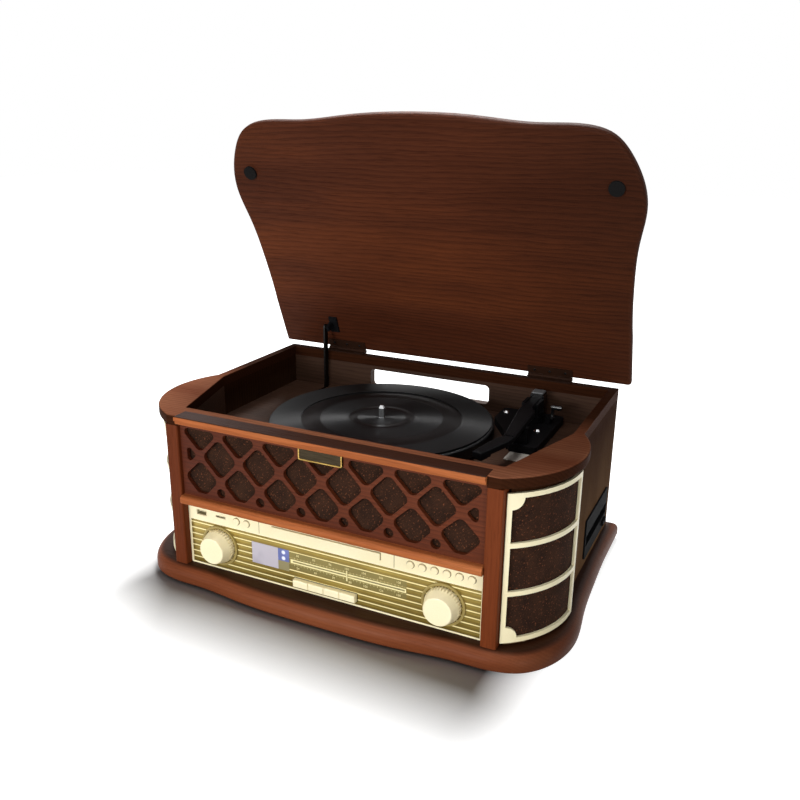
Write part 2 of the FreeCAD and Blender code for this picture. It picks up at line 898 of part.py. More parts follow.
def build_corner_speakers():
    """The curved corners: backing with its driver, cloth, and frame with cross bars."""
    end = s.ear_end_angle
    frame_end = s.frame_end_angle
    full = (plinth_top, rim_bottom)
    middle = (ear_start(baffle_inner) + end) / 2
    driver_z = deck_bottom - s.driver_level
    shell = ear_ring("baffle_shell", baffle_inner, baffle_outer, full, (ear_start(baffle_inner), end))
    hole_span = (baffle_inner / 2, baffle_outer + s.overrun)
    hole = cylinder("driver_hole", "X", s.driver_hole_radius, hole_span, (0, driver_z))
    baffle = cut("corner_baffle", shell, turned("driver_hole_swung", hole, middle))
    node(pair("baffles", baffle), "corner_baffles")

    frame_z = (plinth_top + s.frame_bottom_gap, rim_bottom - s.frame_top_gap)
    cloth = ear_ring(
        "corner_cloth", corner_cloth_inner, corner_cloth_outer, frame_z,
        (ear_start(corner_cloth_inner), frame_end),
    )
    corner_cloths = pair("corner_cloths", cloth)

    start = ear_start(frame_inner)
    ring = ear_ring("frame_ring", frame_inner, frame_outer, frame_z, (start, frame_end))
    strip = arc_sine(s.frame_bar / frame_outer)
    panes_height = frame_z[1] - frame_z[0] - s.frame_bar * (FRAME_PANES + 1)
    window_height = panes_height / FRAME_PANES
    windows = []
    for i in range(FRAME_PANES):
        low = frame_z[0] + s.frame_bar + (window_height + s.frame_bar) * i
        window = sector(
            f"frame_window_{i}", frame_outer + s.overrun, (start + strip, frame_end - strip),
            (low, low + window_height),
        )
        if i in (0, FRAME_PANES - 1):
            corner = low if i == 0 else low + window_height
            round_bar = cylinder(
                f"frame_filler_{i}", "X", s.frame_filler_radius,
                (frame_inner / 2, frame_outer + s.overrun * 2), (0, corner),
            )
            filler = turned(f"frame_filler_swung_{i}", round_bar, start + strip)
            window = cut(f"frame_window_cut_{i}", window, filler)
        windows.append(window)
    node(pair("frames", cut("corner_frame", ring, *windows)), "corner_frames")

    body = new_body("driver_body")
    profile = sketch(body, "driver_profile", "XZ")
    draw_outline(profile, [
        (0, -s.driver_depth), (s.driver_magnet_radius, -s.driver_depth),
        (s.driver_magnet_radius, s.driver_magnet_depth - s.driver_depth),
        (s.driver_hole_radius, -s.driver_flange), (s.driver_radius, -s.driver_flange),
        (s.driver_radius, 0), (s.driver_hole_radius, 0),
        (s.driver_cap_radius, -s.driver_cone_depth), (0, -s.driver_cone_depth),
    ])
    revolve(body, profile)
    body.Placement = Placement(Vector(), ALONG["X"])
    chord = root(baffle_inner * baffle_inner - s.driver_radius * s.driver_radius)
    place(body, chord - s.running_gap, 0, driver_z)
    node(pair("drivers", turned("driver_swung", body, middle)), "speaker_drivers")
    return corner_cloths


# The well's outline, and the outline of the liner round it and the deck under it.
diagonal_x = inner_half - s.well_front_half
diagonal_y = well_side - well_front
diagonal = root(diagonal_x * diagonal_x + diagonal_y * diagonal_y)
liner_front = well_front - s.liner_thickness
liner_front_half = s.well_front_half + s.liner_thickness * (diagonal - diagonal_x) / diagonal_y
liner_side = well_side - s.liner_thickness * diagonal / diagonal_x


def well_outline(front, front_half, side):
    """List the corners of the well or of what surrounds it."""
    return [
        (-front_half, front), (front_half, front), (inner_half, side),
        (inner_half, rear_inner), (-inner_half, rear_inner), (-inner_half, side),
    ]


def prism(name, outline, z, rounds=None):
    """Raise an outline between two heights."""
    body = new_body(name)
    drawing = sketch(body, name + "_outline", "XY", z[0])
    draw_outline(drawing, outline, rounds)
    pad(body, drawing, z[1] - z[0])
    return body


platter_x = s.platter_offset
platter_y = front_y + s.platter_setback
pulley_x = platter_x + s.pulley_distance * cosine(s.pulley_bearing)
pulley_y = platter_y + s.pulley_distance * sine(s.pulley_bearing)
arm_x = s.arm_pivot_offset
arm_y = front_y + s.arm_pivot_setback
hinge_y = rear_y + s.hinge_pin_setback
lid_under = s.hinge_leaf + s.hinge_leaf_gap / 2
hinge_z = rim_top + lid_under
stay_hang = lid_under - s.stay_hang
stay_y = hinge_y - s.stay_reach * cosine(s.lid_open_angle) + stay_hang * sine(s.lid_open_angle)
stay_z = hinge_z + s.stay_reach * sine(s.lid_open_angle) + stay_hang * cosine(s.lid_open_angle)
stay_swing = root(s.stay_reach * s.stay_reach + stay_hang * stay_hang)


def screw_places():
    """List where the screws of the tonearm base stand."""
    left = (arm_x - s.base_left_reach + s.base_nose_half / 2, arm_y + s.base_rear_reach / 2)
    right = (arm_x + s.base_right_reach / 2, arm_y - s.base_rear_reach)
    return [left, right]


def build_well():
    """The top rim with its ears, the liner of the well, and the deck at its bottom."""
    z = (rim_bottom, rim_top)
    slabs = [
        box("rim_rear_slab", (-outer_half, outer_half), (ear_y, rear_y), z),
        box("rim_front_slab", (-ear_x, ear_x), (front_y, ear_y), z),
    ]
    ears = [
        cylinder(f"rim_ear_{side}", "Z", s.ear_radius, z, (x, ear_y))
        for side, x in (("left", -ear_x), ("right", ear_x))
    ]
    reach = ear_x + s.ear_radius + s.overrun
    bounds = box("rim_bounds", (-reach, reach), (front_y, rear_y), z)
    blank = common("rim_blank", fuse("rim_with_ears", *slabs, *ears), bounds)
    beyond = (rim_bottom - s.overrun, rim_top + s.overrun)
    well = prism("well_cutter", well_outline(well_front, s.well_front_half, well_side), beyond)
    notch = box(
        "front_notch", (-post_inner, post_inner),
        (front_y - s.overrun, front_y + s.post_depth), beyond,
    )
    board = cut("rim_board", blank, well, notch)
    arcs = rounded(
        "rim_rounded", board,
        lambda edge: isinstance(edge.Curve, Part.Circle),
        s.rim_edge_round,
    )
    node(arcs, "top_rim")

    liner_z = (deck_top, rim_bottom)
    outside = well_outline(liner_front, liner_front_half, liner_side)
    block = prism("liner_block", outside, liner_z)
    hollow = prism(
        "liner_hollow", well_outline(well_front, s.well_front_half, well_side),
        (deck_top - s.overrun, rim_bottom + s.overrun),
    )
    node(cut("liner", block, hollow), "well_liner")

    deck = prism("deck_blank", outside, (deck_bottom, deck_top))
    through = (deck_bottom - s.overrun, deck_top + s.overrun)
    bore = cylinder("spindle_bore", "Z", s.shaft_radius + s.bearing_gap, through, (platter_x, platter_y))
    shaft = cylinder("motor_bore", "Z", s.pulley_stem_radius * 2, through, (pulley_x, pulley_y))
    slot_half = s.stay_thickness / 2 + s.stay_slot_margin
    slot_reach = s.stay_width / 2 + s.stay_slot_margin
    slot = box(
        "stay_slot", (s.stay_offset - slot_half, s.stay_offset + slot_half),
        (hinge_y - stay_swing - slot_reach, stay_y + slot_reach), through,
    )
    holes = [
        cylinder(f"screw_bore_{i}", "Z", s.screw_shank_radius + s.bearing_gap, through, spot)
        for i, spot in enumerate(screw_places())
    ]
    node(cut("deck", deck, bore, shaft, slot, *holes), "deck_board")


def build_fretwork(corner_cloths):
    """The pierced front panel, the cloth behind it and the small plate on it."""
    front = front_y + s.fret_setback
    z = (mid_rail_top, top_rail_bottom)
    panel = new_body("fret_panel")
    outline = sketch(panel, "fret_outline", "XZ", front)
    draw_outline(outline, rectangle((-rail_half, rail_half), z))
    pad(panel, outline, s.fret_thickness, backwards=True)

    def level(share):
        """Give the height at a share of the panel."""
        return z[0] + (z[1] - z[0]) * share

    def pierce(name, corners, count, rounds):
        """Cut a row of rounded openings, the first given by its corners about x = 0."""
        first = s.fret_pitch * (count - 1) / 2
        drawing = sketch(panel, name, "XZ", front)
        draw_outline(drawing, [(x - first, level(share)) for x, share in corners], rounds)
        row_of(panel, pocket(panel, drawing, s.fret_thickness), "X", s.fret_pitch * (count - 1), count)

    middle = as_size(0)
    low, centre, high = FRET_DIAMOND_SHARES
    pierce("middle_diamond", [
        (middle, low), (s.diamond_half_width, centre), (middle, high), (-s.diamond_half_width, centre),
    ], MIDDLE_COUNT, s.fret_round)
    low, centre, high = FRET_LOWER_SHARES
    pierce("lower_diamond", [
        (-s.lower_flat_half, low), (s.lower_flat_half, low), (s.lower_half_width, centre),
        (middle, high), (-s.lower_half_width, centre),
    ], UPPER_COUNT, s.fret_round)
    low, high = FRET_UPPER_SHARES
    pierce("upper_triangle", [
        (middle, low), (s.upper_half_width, high), (-s.upper_half_width, high),
    ], UPPER_COUNT, {0: s.fret_round, 1: s.fret_top_round, 2: s.fret_top_round})
    edge = post_inner - s.fret_border
    low, centre, high = FRET_END_SHARES
    for side in (-1, 1):
        drawing = sketch(panel, f"end_triangle_{side + 1}", "XZ", front)
        draw_outline(drawing, [
            (edge * side, level(low)), ((edge - s.end_half_width) * side, level(centre)),
            (edge * side, level(high)),
        ], s.fret_round / 2)
        pocket(panel, drawing, s.fret_thickness)
    drawing = sketch(panel, "small_round", "XZ", front)
    first = s.fret_pitch * (MIDDLE_COUNT - 1) / 2
    draw_circle(drawing, (-first, level(FRET_ROUND_SHARE)), s.round_radius)
    row_of(panel, pocket(panel, drawing, s.fret_thickness), "X", first * 2, MIDDLE_COUNT)
    node(panel, "fretwork")

    back = front + s.fret_thickness
    cloth = box("fret_cloth", (-rail_half, rail_half), (back, back + s.grille_cloth_thickness), z)
    node(group("cloths", cloth, corner_cloths), "grille_cloths")
    plate = new_body("badge")
    drawing = sketch(plate, "badge_outline", "XZ", front)
    half_badge = s.badge_width / 2
    span = (top_rail_bottom - s.badge_height, top_rail_bottom)
    draw_outline(drawing, rectangle((-half_badge, half_badge), span), s.badge_round)
    pad(plate, drawing, s.badge_thickness)
    node(plate, "badge_plate")


# Places on the control panel.
fascia_front = front_y + s.fascia_setback
fascia_back = fascia_front + s.fascia_thickness
board_front = fascia_back + s.board_gap
board_back = board_front + s.board_thickness
knob_z = plinth_top + s.knob_level
button_z = plinth_top + s.button_level
drawer_half = s.drawer_width / 2
drawer_z = (plinth_top + s.drawer_level, plinth_top + s.drawer_level + s.drawer_height)
cage_half = drawer_half + s.running_gap + s.cage_wall
cage_z = (
    drawer_z[0] - s.running_gap - s.cage_wall,
    drawer_z[1] + s.running_gap + s.cage_wall,
)
key_z = (plinth_top + s.key_level, plinth_top + s.key_level + s.key_height)
socket_z = plinth_top + s.socket_level
RIGHT_BUTTONS = 6
LEFT_BUTTONS = 2
KEY_COUNT = 4


def button_places():
    """List every round button with its name and its place across the panel."""
    left = [(f"left_button_{i + 1}", s.button_left_first + s.button_pitch * i) for i in range(LEFT_BUTTONS)]
    right = [
        (f"right_button_{i + 1}", s.button_right_first + s.button_pitch * i) for i in range(RIGHT_BUTTONS)
    ]
    return left + right


def widen(span, gap):
    """Open a span by a gap at both ends."""
    return (span[0] - gap, span[1] + gap)


def dial_openings(panel, depth):
    """Cut the openings that the fascia and its dial plate share."""
    display = sketch(panel, panel.Name + "_display", "XZ", fascia_front)
    display_z = (plinth_top + s.display_bottom, plinth_top + s.display_top)
    display_x = (s.display_left, s.display_right)
    draw_outline(display, rectangle(widen(display_x, s.seat_gap), widen(display_z, s.seat_gap)))
    pocket(panel, display, depth)
    track = sketch(panel, panel.Name + "_track", "XZ", fascia_front)
    track_z = plinth_top + s.track_level
    half = s.track_height / 2
    track_x = (s.display_right + s.track_margin, s.track_right)
    draw_outline(track, rectangle(track_x, (track_z - half, track_z + half)))
    pocket(panel, track, depth)
    keys = sketch(panel, panel.Name + "_keys", "XZ", fascia_front)
    row_half = s.key_width * (KEY_COUNT / 2)
    draw_outline(keys, rectangle(
        widen((-row_half, row_half), s.running_gap), widen(key_z, s.running_gap)))
    pocket(panel, keys, depth)
    knobs = sketch(panel, panel.Name + "_knobs", "XZ", fascia_front)
    for x in (-s.knob_offset, s.knob_offset):
        draw_circle(knobs, (x, knob_z), s.knob_stem_radius + s.running_gap)
    pocket(panel, knobs, depth)


def build_fascia():
    """The cream fascia, the dial plate let into it, its bezels, display and mode strip."""
    z = (plinth_top, mid_rail_bottom)
    panel = new_body("fascia")
    outline = sketch(panel, "fascia_outline", "XZ", fascia_front)
    draw_outline(outline, rectangle((-rail_half, rail_half), z))
    pad(panel, outline, s.fascia_thickness, backwards=True)
    dial_half = rail_half - s.dial_border
    dial_z = (plinth_top + s.dial_bottom, plinth_top + s.dial_top)
    recess = sketch(panel, "dial_recess", "XZ", fascia_front)
    draw_outline(recess, rectangle(widen((-dial_half, dial_half), s.seat_gap), widen(dial_z, s.seat_gap)))
    pocket(panel, recess, s.dial_thickness)
    dial_openings(panel, s.fascia_thickness)
    holes = sketch(panel, "button_holes", "XZ", fascia_front)
    for _, x in button_places():
        draw_circle(holes, (x, button_z), s.button_radius + s.running_gap)
    pocket(panel, holes, s.fascia_thickness)
    slots = sketch(panel, "slots", "XZ", fascia_front)
    draw_outline(slots, rectangle(
        widen((-drawer_half, drawer_half), s.running_gap), widen(drawer_z, s.running_gap)))
    for centre, width, height in SOCKETS:
        draw_outline(slots, rectangle(*socket_outside(centre, width, height, s.seat_gap)))
    pocket(panel, slots, s.fascia_thickness)
    bosses = sketch(panel, "board_bosses", "XZ", fascia_back)
    boss_x = rail_half - s.board_boss_radius * 2
    boss_z = plinth_top + s.dial_top
    for x in (-boss_x, boss_x):
        draw_circle(bosses, (x, boss_z), s.board_boss_radius)
    pad(panel, bosses, s.board_gap, backwards=True)
    node(panel, "control_fascia")

    plate = new_body("dial")
    outline = sketch(plate, "dial_outline", "XZ", fascia_front)
    draw_outline(outline, rectangle((-dial_half, dial_half), dial_z))
    pad(plate, outline, s.dial_thickness, backwards=True)
    dial_openings(plate, s.dial_thickness)
    node(plate, "dial_plate")

    rings = []
    for side, x in (("left", -s.knob_offset), ("right", s.knob_offset)):
        span = (fascia_front - s.bezel_proud, fascia_front)
        disc = cylinder(f"bezel_disc_{side}", "Y", s.bezel_outer_radius, span, (x, knob_z))
        bore = cylinder(
            f"bezel_bore_{side}", "Y", s.bezel_inner_radius, widen(span, s.overrun), (x, knob_z))
        rings.append(cut(f"bezel_{side}", disc, bore))
    node(group("bezels", *rings), "knob_bezels")

    display_z = (plinth_top + s.display_bottom, plinth_top + s.display_top)
    deep = (fascia_front, board_front)
    panes = [
        box("display_pane", (s.display_left, s.display_split), deep, display_z),
        box("mode_pane", (s.display_split, s.display_right), deep, display_z),
    ]
    node(group("display", *panes), "display_module")


SOCKETS = (
    (s.memory_offset, s.memory_width, s.memory_height),
    (s.card_offset, s.card_width, s.card_height),
)


def socket_outside(centre, width, height, gap):
    """Give the outer rectangle of a socket's shell, opened by a gap."""
    half_width = width / 2 + s.socket_wall + gap
    half_height = height / 2 + s.socket_wall + gap
    return (centre - half_width, centre + half_width), (socket_z - half_height, socket_z + half_height)


def build_sockets():
    """The memory socket with its tongue, and the card socket."""
    shells = []
    for label, (centre, width, height) in zip(("memory_socket", "card_socket"), SOCKETS):
        x, z = socket_outside(centre, width, height, 0)
        block = box(label + "_block", x, (fascia_front, board_front), z)
        inside = box(
            label + "_inside", widen(x, -s.socket_wall),
            (fascia_front - s.overrun, board_front - s.socket_wall), widen(z, -s.socket_wall),
        )
        shells.append(cut(label + "_shell", block, inside))
    inset = s.memory_width / 2 - s.memory_tongue
    top = socket_z + s.memory_height / 2
    tongue = box(
        "memory_tongue", (s.memory_offset - inset, s.memory_offset + inset),
        (fascia_front + s.memory_tongue, board_front - s.socket_wall), (top - s.memory_tongue, top),
    )
    whole = fuse("memory_socket", shells[0], tongue)
    node(group("sockets", whole, shells[1]), "memory_sockets")


def build_control_board():
    """The board behind the fascia, with the two rotary controls on its back."""
    board = new_body("board")
    outline = sketch(board, "board_outline", "XZ", board_front)
    half = rail_half - s.board_boss_radius
    low = plinth_top + s.dial_bottom
    high = mid_rail_bottom - s.dial_border
    shelf = cage_z[0] - s.running_gap
    notch = cage_half + s.running_gap
    draw_outline(outline, [
        (-half, low), (half, low), (half, high), (notch, high), (notch, shelf),
        (-notch, shelf), (-notch, high), (-half, high),
    ])
    pad(board, outline, s.board_thickness, backwards=True)
    pots = sketch(board, "pots", "XZ", board_back)
    stems = sketch(board, "stem_holes", "XZ", board_front)
    for x in (-s.knob_offset, s.knob_offset):
        draw_circle(pots, (x, knob_z), s.pot_radius)
        draw_circle(stems, (x, knob_z), s.knob_stem_radius + s.bearing_gap)
    pad(board, pots, s.pot_depth, backwards=True)
    pocket(board, stems, s.board_thickness + s.pot_depth)
    node(board, "control_board")


def build_knob(label, x):
    """A fluted, tapering knob with its stem, turned about its axis."""
    body = new_body(label + "_body")
    profile = sketch(body, label + "_profile", "XZ")
    stem_end = fascia_front - board_back - s.pot_depth / 2
    shoulder = s.running_gap + s.knob_skirt
    draw_outline(profile, [
        (0, stem_end), (s.knob_stem_radius, stem_end), (s.knob_stem_radius, s.running_gap),
        (s.knob_base_radius, s.running_gap), (s.knob_base_radius, shoulder),
        (s.knob_face_radius, s.knob_proud), (0, s.knob_proud),
    ], {5: s.knob_face_round})
    revolve(body, profile)
    flute = sketch(body, label + "_flute", "XY", s.running_gap)
    draw_circle(flute, (s.knob_base_radius, 0), s.knob_flute_radius)
    ring_of(body, pocket(body, flute, s.knob_proud, backwards=True), "Z", KNOB_FLUTES)
    body.Placement = Placement(Vector(), Rotation(X_AXIS, 90))
    place(body, x, fascia_front, knob_z)
    node(body, label)


def build_pushers():
    """The four piano keys, the round buttons and the dial pointer."""
    end = board_front - s.key_travel - s.running_gap
    front = fascia_front - s.key_proud
    first = -s.key_width * (KEY_COUNT / 2)
    for i in range(KEY_COUNT):
        key = new_body(f"key_body_{i + 1}")
        drawing = sketch(key, f"key_outline_{i + 1}", "XZ", front)
        x = (first + s.key_width * i, first + s.key_width * (i + 1))
        draw_outline(drawing, rectangle(widen(x, -s.running_gap / 2), key_z))
        block = pad(key, drawing, end - front, backwards=True)
        round_edges(key, block, lambda edge: lies_at(edge, "Y", front), s.key_round)
        node(key, f"piano_key_{i + 1}")
    end = board_front - s.button_travel - s.running_gap
    front = fascia_front - s.button_proud
    for label, x in button_places():
        bar = cylinder(label + "_bar", "Y", s.button_radius, (front, end), (x, button_z))
        soft = rounded(label + "_soft", bar, lambda edge: lies_at(edge, "Y", front), s.button_round)
        node(soft, label)

    track_z = plinth_top + s.track_level
    middle = pointer_middle()
    half = s.pointer_width / 2
    tall = s.track_height / 2 - s.running_gap
    finger = box(
        "pointer_finger", (middle - half, middle + half),
        (fascia_front - s.pointer_proud, fascia_back + s.running_gap), (track_z - tall, track_z + tall),
    )
    needle = box(
        "pointer_needle", (middle - half, middle + half),
        (fascia_front - s.pointer_proud, fascia_front - s.pointer_gap),
        (track_z - s.pointer_length / 2, track_z + s.pointer_length / 2),
    )
    carriage = box(
        "pointer_carriage", (middle - s.carriage_width / 2, middle + s.carriage_width / 2),
        (fascia_back + s.running_gap, fascia_back + s.running_gap + s.carriage_thickness),
        (track_z - s.carriage_height / 2, track_z + s.carriage_height / 2),
    )
    node(fuse("pointer", finger, needle, carriage), "dial_pointer")


def pointer_middle():
    """Give the middle of the pointer's track."""
    return (s.display_right + s.track_margin + s.track_right) / 2


def build_drawer():
    """The disc drawer and the cage that it runs in."""
    front = fascia_front - s.drawer_proud
    bar_back = front + s.drawer_front_thickness
    bar = box("drawer_bar", (-drawer_half, drawer_half), (front, bar_back), drawer_z)
    tray_half = drawer_half - s.tray_inset
    tray_end = bar_back + s.tray_length
    tray_top = drawer_z[1] - s.tray_inset
    tray = box("drawer_tray", (-tray_half, tray_half), (bar_back, tray_end), (drawer_z[0], tray_top))
    disc_y = bar_back + s.tray_inset + s.disc_radius
    disc_z = tray_top - s.disc_recess
    recess = cylinder("disc_recess", "Z", s.disc_radius, (disc_z, tray_top + s.overrun), (0, disc_y))
    lens = box(
        "lens_opening", (-s.lens_half_width, s.lens_half_width),
        (disc_y - s.lens_half_width, disc_y + s.disc_radius - s.tray_inset),
        (drawer_z[0] - s.overrun, tray_top + s.overrun),
    )
    node(fuse("drawer", bar, cut("drawer_tray_cut", tray, recess, lens)), "disc_drawer")

    cage_end = tray_end + s.running_gap + s.cage_wall
    shell = box("cage_shell", (-cage_half, cage_half), (fascia_back, cage_end), cage_z)
    inside = box(
        "cage_inside", widen((-cage_half, cage_half), -s.cage_wall),
        (fascia_back - s.overrun, cage_end - s.cage_wall), widen(cage_z, -s.cage_wall),
    )
    node(cut("cage", shell, inside), "disc_cage")


def turned_body(name, profile, x, y):
    """Turn a profile of radius and height pairs round a vertical axis."""
    body = new_body(name)
    drawing = sketch(body, name + "_profile", "XZ")
    draw_outline(drawing, profile)
    revolve(body, drawing)
    return place(body, x, y)


platter_top = deck_top + s.platter_rise
web_bottom = platter_top - s.platter_web
drum_bottom = web_bottom - s.drum_height
belt_level = (web_bottom + drum_bottom) / 2
mat_top = platter_top + s.mat_thickness


def build_platter():
    """The platter, its mat and spindle, and the belt drive under it."""
    bore = s.shaft_radius + s.bearing_gap
    skirt_inner = s.platter_radius - s.platter_skirt
    skirt_bottom = platter_top - s.platter_skirt_height
    drum_inner = s.drum_radius - s.drum_wall
    hub_bottom = deck_top + s.running_gap
    platter = new_body("platter_body")
    drawing = sketch(platter, "platter_profile", "XZ")
    draw_outline(drawing, [
        (bore, platter_top), (bore, hub_bottom), (s.platter_hub_radius, hub_bottom),
        (s.platter_hub_radius, web_bottom), (drum_inner, web_bottom), (drum_inner, drum_bottom),
        (s.drum_radius, drum_bottom), (s.drum_radius, web_bottom), (skirt_inner, web_bottom),
        (skirt_inner, skirt_bottom), (s.platter_radius, skirt_bottom), (s.platter_radius, platter_top),
    ], {11: s.platter_edge_round})
    revolve(platter, drawing)
    node(place(platter, platter_x, platter_y), "platter")
    inner_top = mat_top - s.mat_ring_step
    mat = turned_body("mat_body", [
        (s.shaft_radius + s.running_gap, platter_top), (s.mat_radius, platter_top),
        (s.mat_radius, mat_top), (s.mat_ring_inner, mat_top), (s.mat_ring_inner, inner_top),
        (s.shaft_radius + s.running_gap, inner_top),
    ], platter_x, platter_y)
    node(mat, "platter_mat")
    tip = mat_top + s.spindle_rise
    spindle = turned_body("spindle_body", [
        (0, deck_bottom), (s.shaft_radius, deck_bottom), (s.shaft_radius, inner_top),
        (s.spindle_radius, inner_top), (s.spindle_radius, tip - s.spindle_radius),
        (s.spindle_radius / 2, tip), (0, tip),
    ], platter_x, platter_y)
    node(spindle, "spindle")

    low = belt_level - s.pulley_height / 2
    high = belt_level + s.pulley_height / 2
    flange = s.pulley_radius + s.pulley_flange
    stem = deck_bottom + s.running_gap
    pulley = turned_body("pulley_body", [
        (0, stem), (s.pulley_stem_radius, stem), (s.pulley_stem_radius, low), (flange, low),
        (flange, low + s.pulley_flange), (s.pulley_radius, low + s.pulley_flange),
        (s.pulley_radius, high - s.pulley_flange), (flange, high - s.pulley_flange),
        (flange, high), (0, high),
    ], pulley_x, pulley_y)
    node(pulley, "motor_pulley")
    span = (deck_bottom - s.motor_height, deck_bottom)
    node(cylinder("motor", "Z", s.motor_radius, span, (pulley_x, pulley_y)), "drive_motor")

    belt = doc.addObject("Part::Feature", "belt")
    inner = belt_face(s.belt_gap.value)
    outer = belt_face(s.belt_gap.value + s.belt_thickness.value)
    belt.Shape = outer.cut(inner).Faces[0].extrude(Vector(0, 0, s.belt_width.value))
    place_z = belt_level.value - s.belt_width.value / 2
    belt.Placement = Placement(Vector(platter_x.value, platter_y.value, place_z), Rotation())
    node(belt, "drive_belt")


def belt_face(gap):
    """Fill the loop that runs round the drum and the pulley at a gap from both."""
    bearing = math.radians(s.pulley_bearing.value)
    distance = s.pulley_distance.value
    far = Vector(distance * math.cos(bearing), distance * math.sin(bearing), 0)
    drum = s.drum_radius.value + gap
    pulley = s.pulley_radius.value + gap
    spread = math.acos((drum - pulley) / distance)

    def spot(centre, radius, angle):
        return centre + Vector(radius * math.cos(angle), radius * math.sin(angle), 0)

    drum_arc = [spot(Vector(), drum, bearing + a) for a in (spread, math.pi, -spread)]
    pulley_arc = [spot(far, pulley, bearing + a) for a in (-spread, 0, spread)]
    edges = [
        Part.Arc(*drum_arc).toShape(), Part.makeLine(drum_arc[2], pulley_arc[0]),
        Part.Arc(*pulley_arc).toShape(), Part.makeLine(pulley_arc[2], drum_arc[0]),
    ]
    return Part.Face(Part.Wire(edges))


arm_z = deck_top + s.arm_rise
base_top = deck_top + s.base_thickness
yoke_low = arm_z - s.arm_root_height / 2 - s.yoke_rise - s.yoke_thickness
yoke_top = yoke_low + s.yoke_thickness
knee = (arm_x + s.arm_knee_outward, arm_y - s.arm_knee_forward)
arm_tip = (arm_x - s.arm_tip_inward, arm_y - s.arm_tip_forward)
cue_x = arm_x + s.cue_offset
cue_z = base_top + s.cue_boss_height - s.cue_lever_width / 2


def build_tonearm_base():
    """The plate beside the platter with the arm's post, rest and cue boss, and its screws."""
    left = arm_x - s.base_left_reach
    right = arm_x + s.base_right_reach
    rear = arm_y + s.base_rear_reach
    front = arm_y - s.base_front_reach
    plate = prism("base_plate", [
        (left, rear), (left, arm_y - s.base_front_reach * BASE_SHOULDER_SHARE),
        (arm_x - s.base_left_reach / 2, arm_y - s.base_front_reach * BASE_WAIST_SHARE),
        (arm_x, front), (right, front), (right, rear),
    ], (deck_top, base_top), s.base_round)
    post = cylinder("arm_post", "Z", s.post_radius, (deck_top, yoke_low - s.running_gap), (arm_x, arm_y))
    stem_hole = cylinder(
        "arm_post_bore", "Z", s.yoke_stem_radius + s.bearing_gap,
        (yoke_low - s.yoke_stem_length - s.running_gap * 2, yoke_low + s.overrun), (arm_x, arm_y),
    )
    rest_x = arm_x + s.arm_knee_outward * (s.rest_forward / s.arm_knee_forward)
    rest_y = arm_y - s.rest_forward
    half = s.rest_width / 2
    deep = (rest_y - s.rest_depth / 2, rest_y + s.rest_depth / 2)
    rest_top = arm_z - s.arm_root_height / 2 - s.running_gap
    rest = box("arm_rest", (rest_x - half, rest_x + half), deep, (deck_top, rest_top))
    lip = box(
        "arm_rest_lip", (rest_x + half - s.rest_lip_width, rest_x + half), deep,
        (rest_top, rest_top + s.rest_lip + s.running_gap),
    )
    boss_half = s.cue_boss_thickness / 2
    boss = box(
        "cue_boss", (cue_x - boss_half, cue_x + boss_half),
        (arm_y - s.cue_boss_depth / 2, arm_y + s.cue_boss_depth / 2),
        (deck_top, base_top + s.cue_boss_height),
    )
    cue_hole = cylinder(
        "cue_bore", "X", s.cue_pin_radius + s.bearing_gap,
        (cue_x - boss_half - s.overrun, cue_x + boss_half + s.overrun), (arm_y, cue_z),
    )
    holes = [
        cylinder(
            f"base_screw_bore_{i}", "Z", s.screw_shank_radius + s.bearing_gap,
            (deck_top - s.overrun, base_top + s.overrun), spot,
        )
        for i, spot in enumerate(screw_places())
    ]
    whole = fuse("base_whole", plate, post, rest, lip, boss)
    node(cut("base_cut", whole, stem_hole, cue_hole, *holes), "tonearm_base")
    shank_end = base_top - s.screw_shank_length
    head_top = base_top + s.screw_head_height
    screws = [
        turned_body(f"base_screw_{i}", [
            (0, shank_end), (s.screw_shank_radius, shank_end), (s.screw_shank_radius, base_top),
            (s.screw_head_radius, base_top), (s.screw_head_radius / 2, head_top), (0, head_top),
        ], *spot)
        for i, spot in enumerate(screw_places())
    ]
    node(group("base_screws", *screws), "base_screws")


def build_cue_lever():
    """The small lever that raises the arm."""
    lever = new_body("cue_lever_body")
    start = cue_x + s.cue_boss_thickness / 2 + s.running_gap
    drawing = sketch(lever, "cue_outline", "YZ", start)
    half = s.cue_lever_width / 2
    end_round = s.cue_lever_width * BAR_END_SHARE
    high = cue_z + s.cue_lever_length
    draw_outline(drawing, rectangle((arm_y - half, arm_y + half), (cue_z - half, high)), end_round)
    pad(lever, drawing, s.cue_lever_thickness)
    finger = sketch(lever, "cue_finger", "YZ", start)
    draw_outline(finger, rectangle((arm_y - half, arm_y + half), (high - half * 2, high)), end_round)
    pad(lever, finger, s.cue_lever_thickness + s.cue_pad_length)
    pin = sketch(lever, "cue_pin", "YZ", start)
    draw_circle(pin, (arm_y, cue_z), s.cue_pin_radius)
    pad(lever, pin, s.cue_boss_thickness, backwards=True)
    node(lever, "cue_lever")


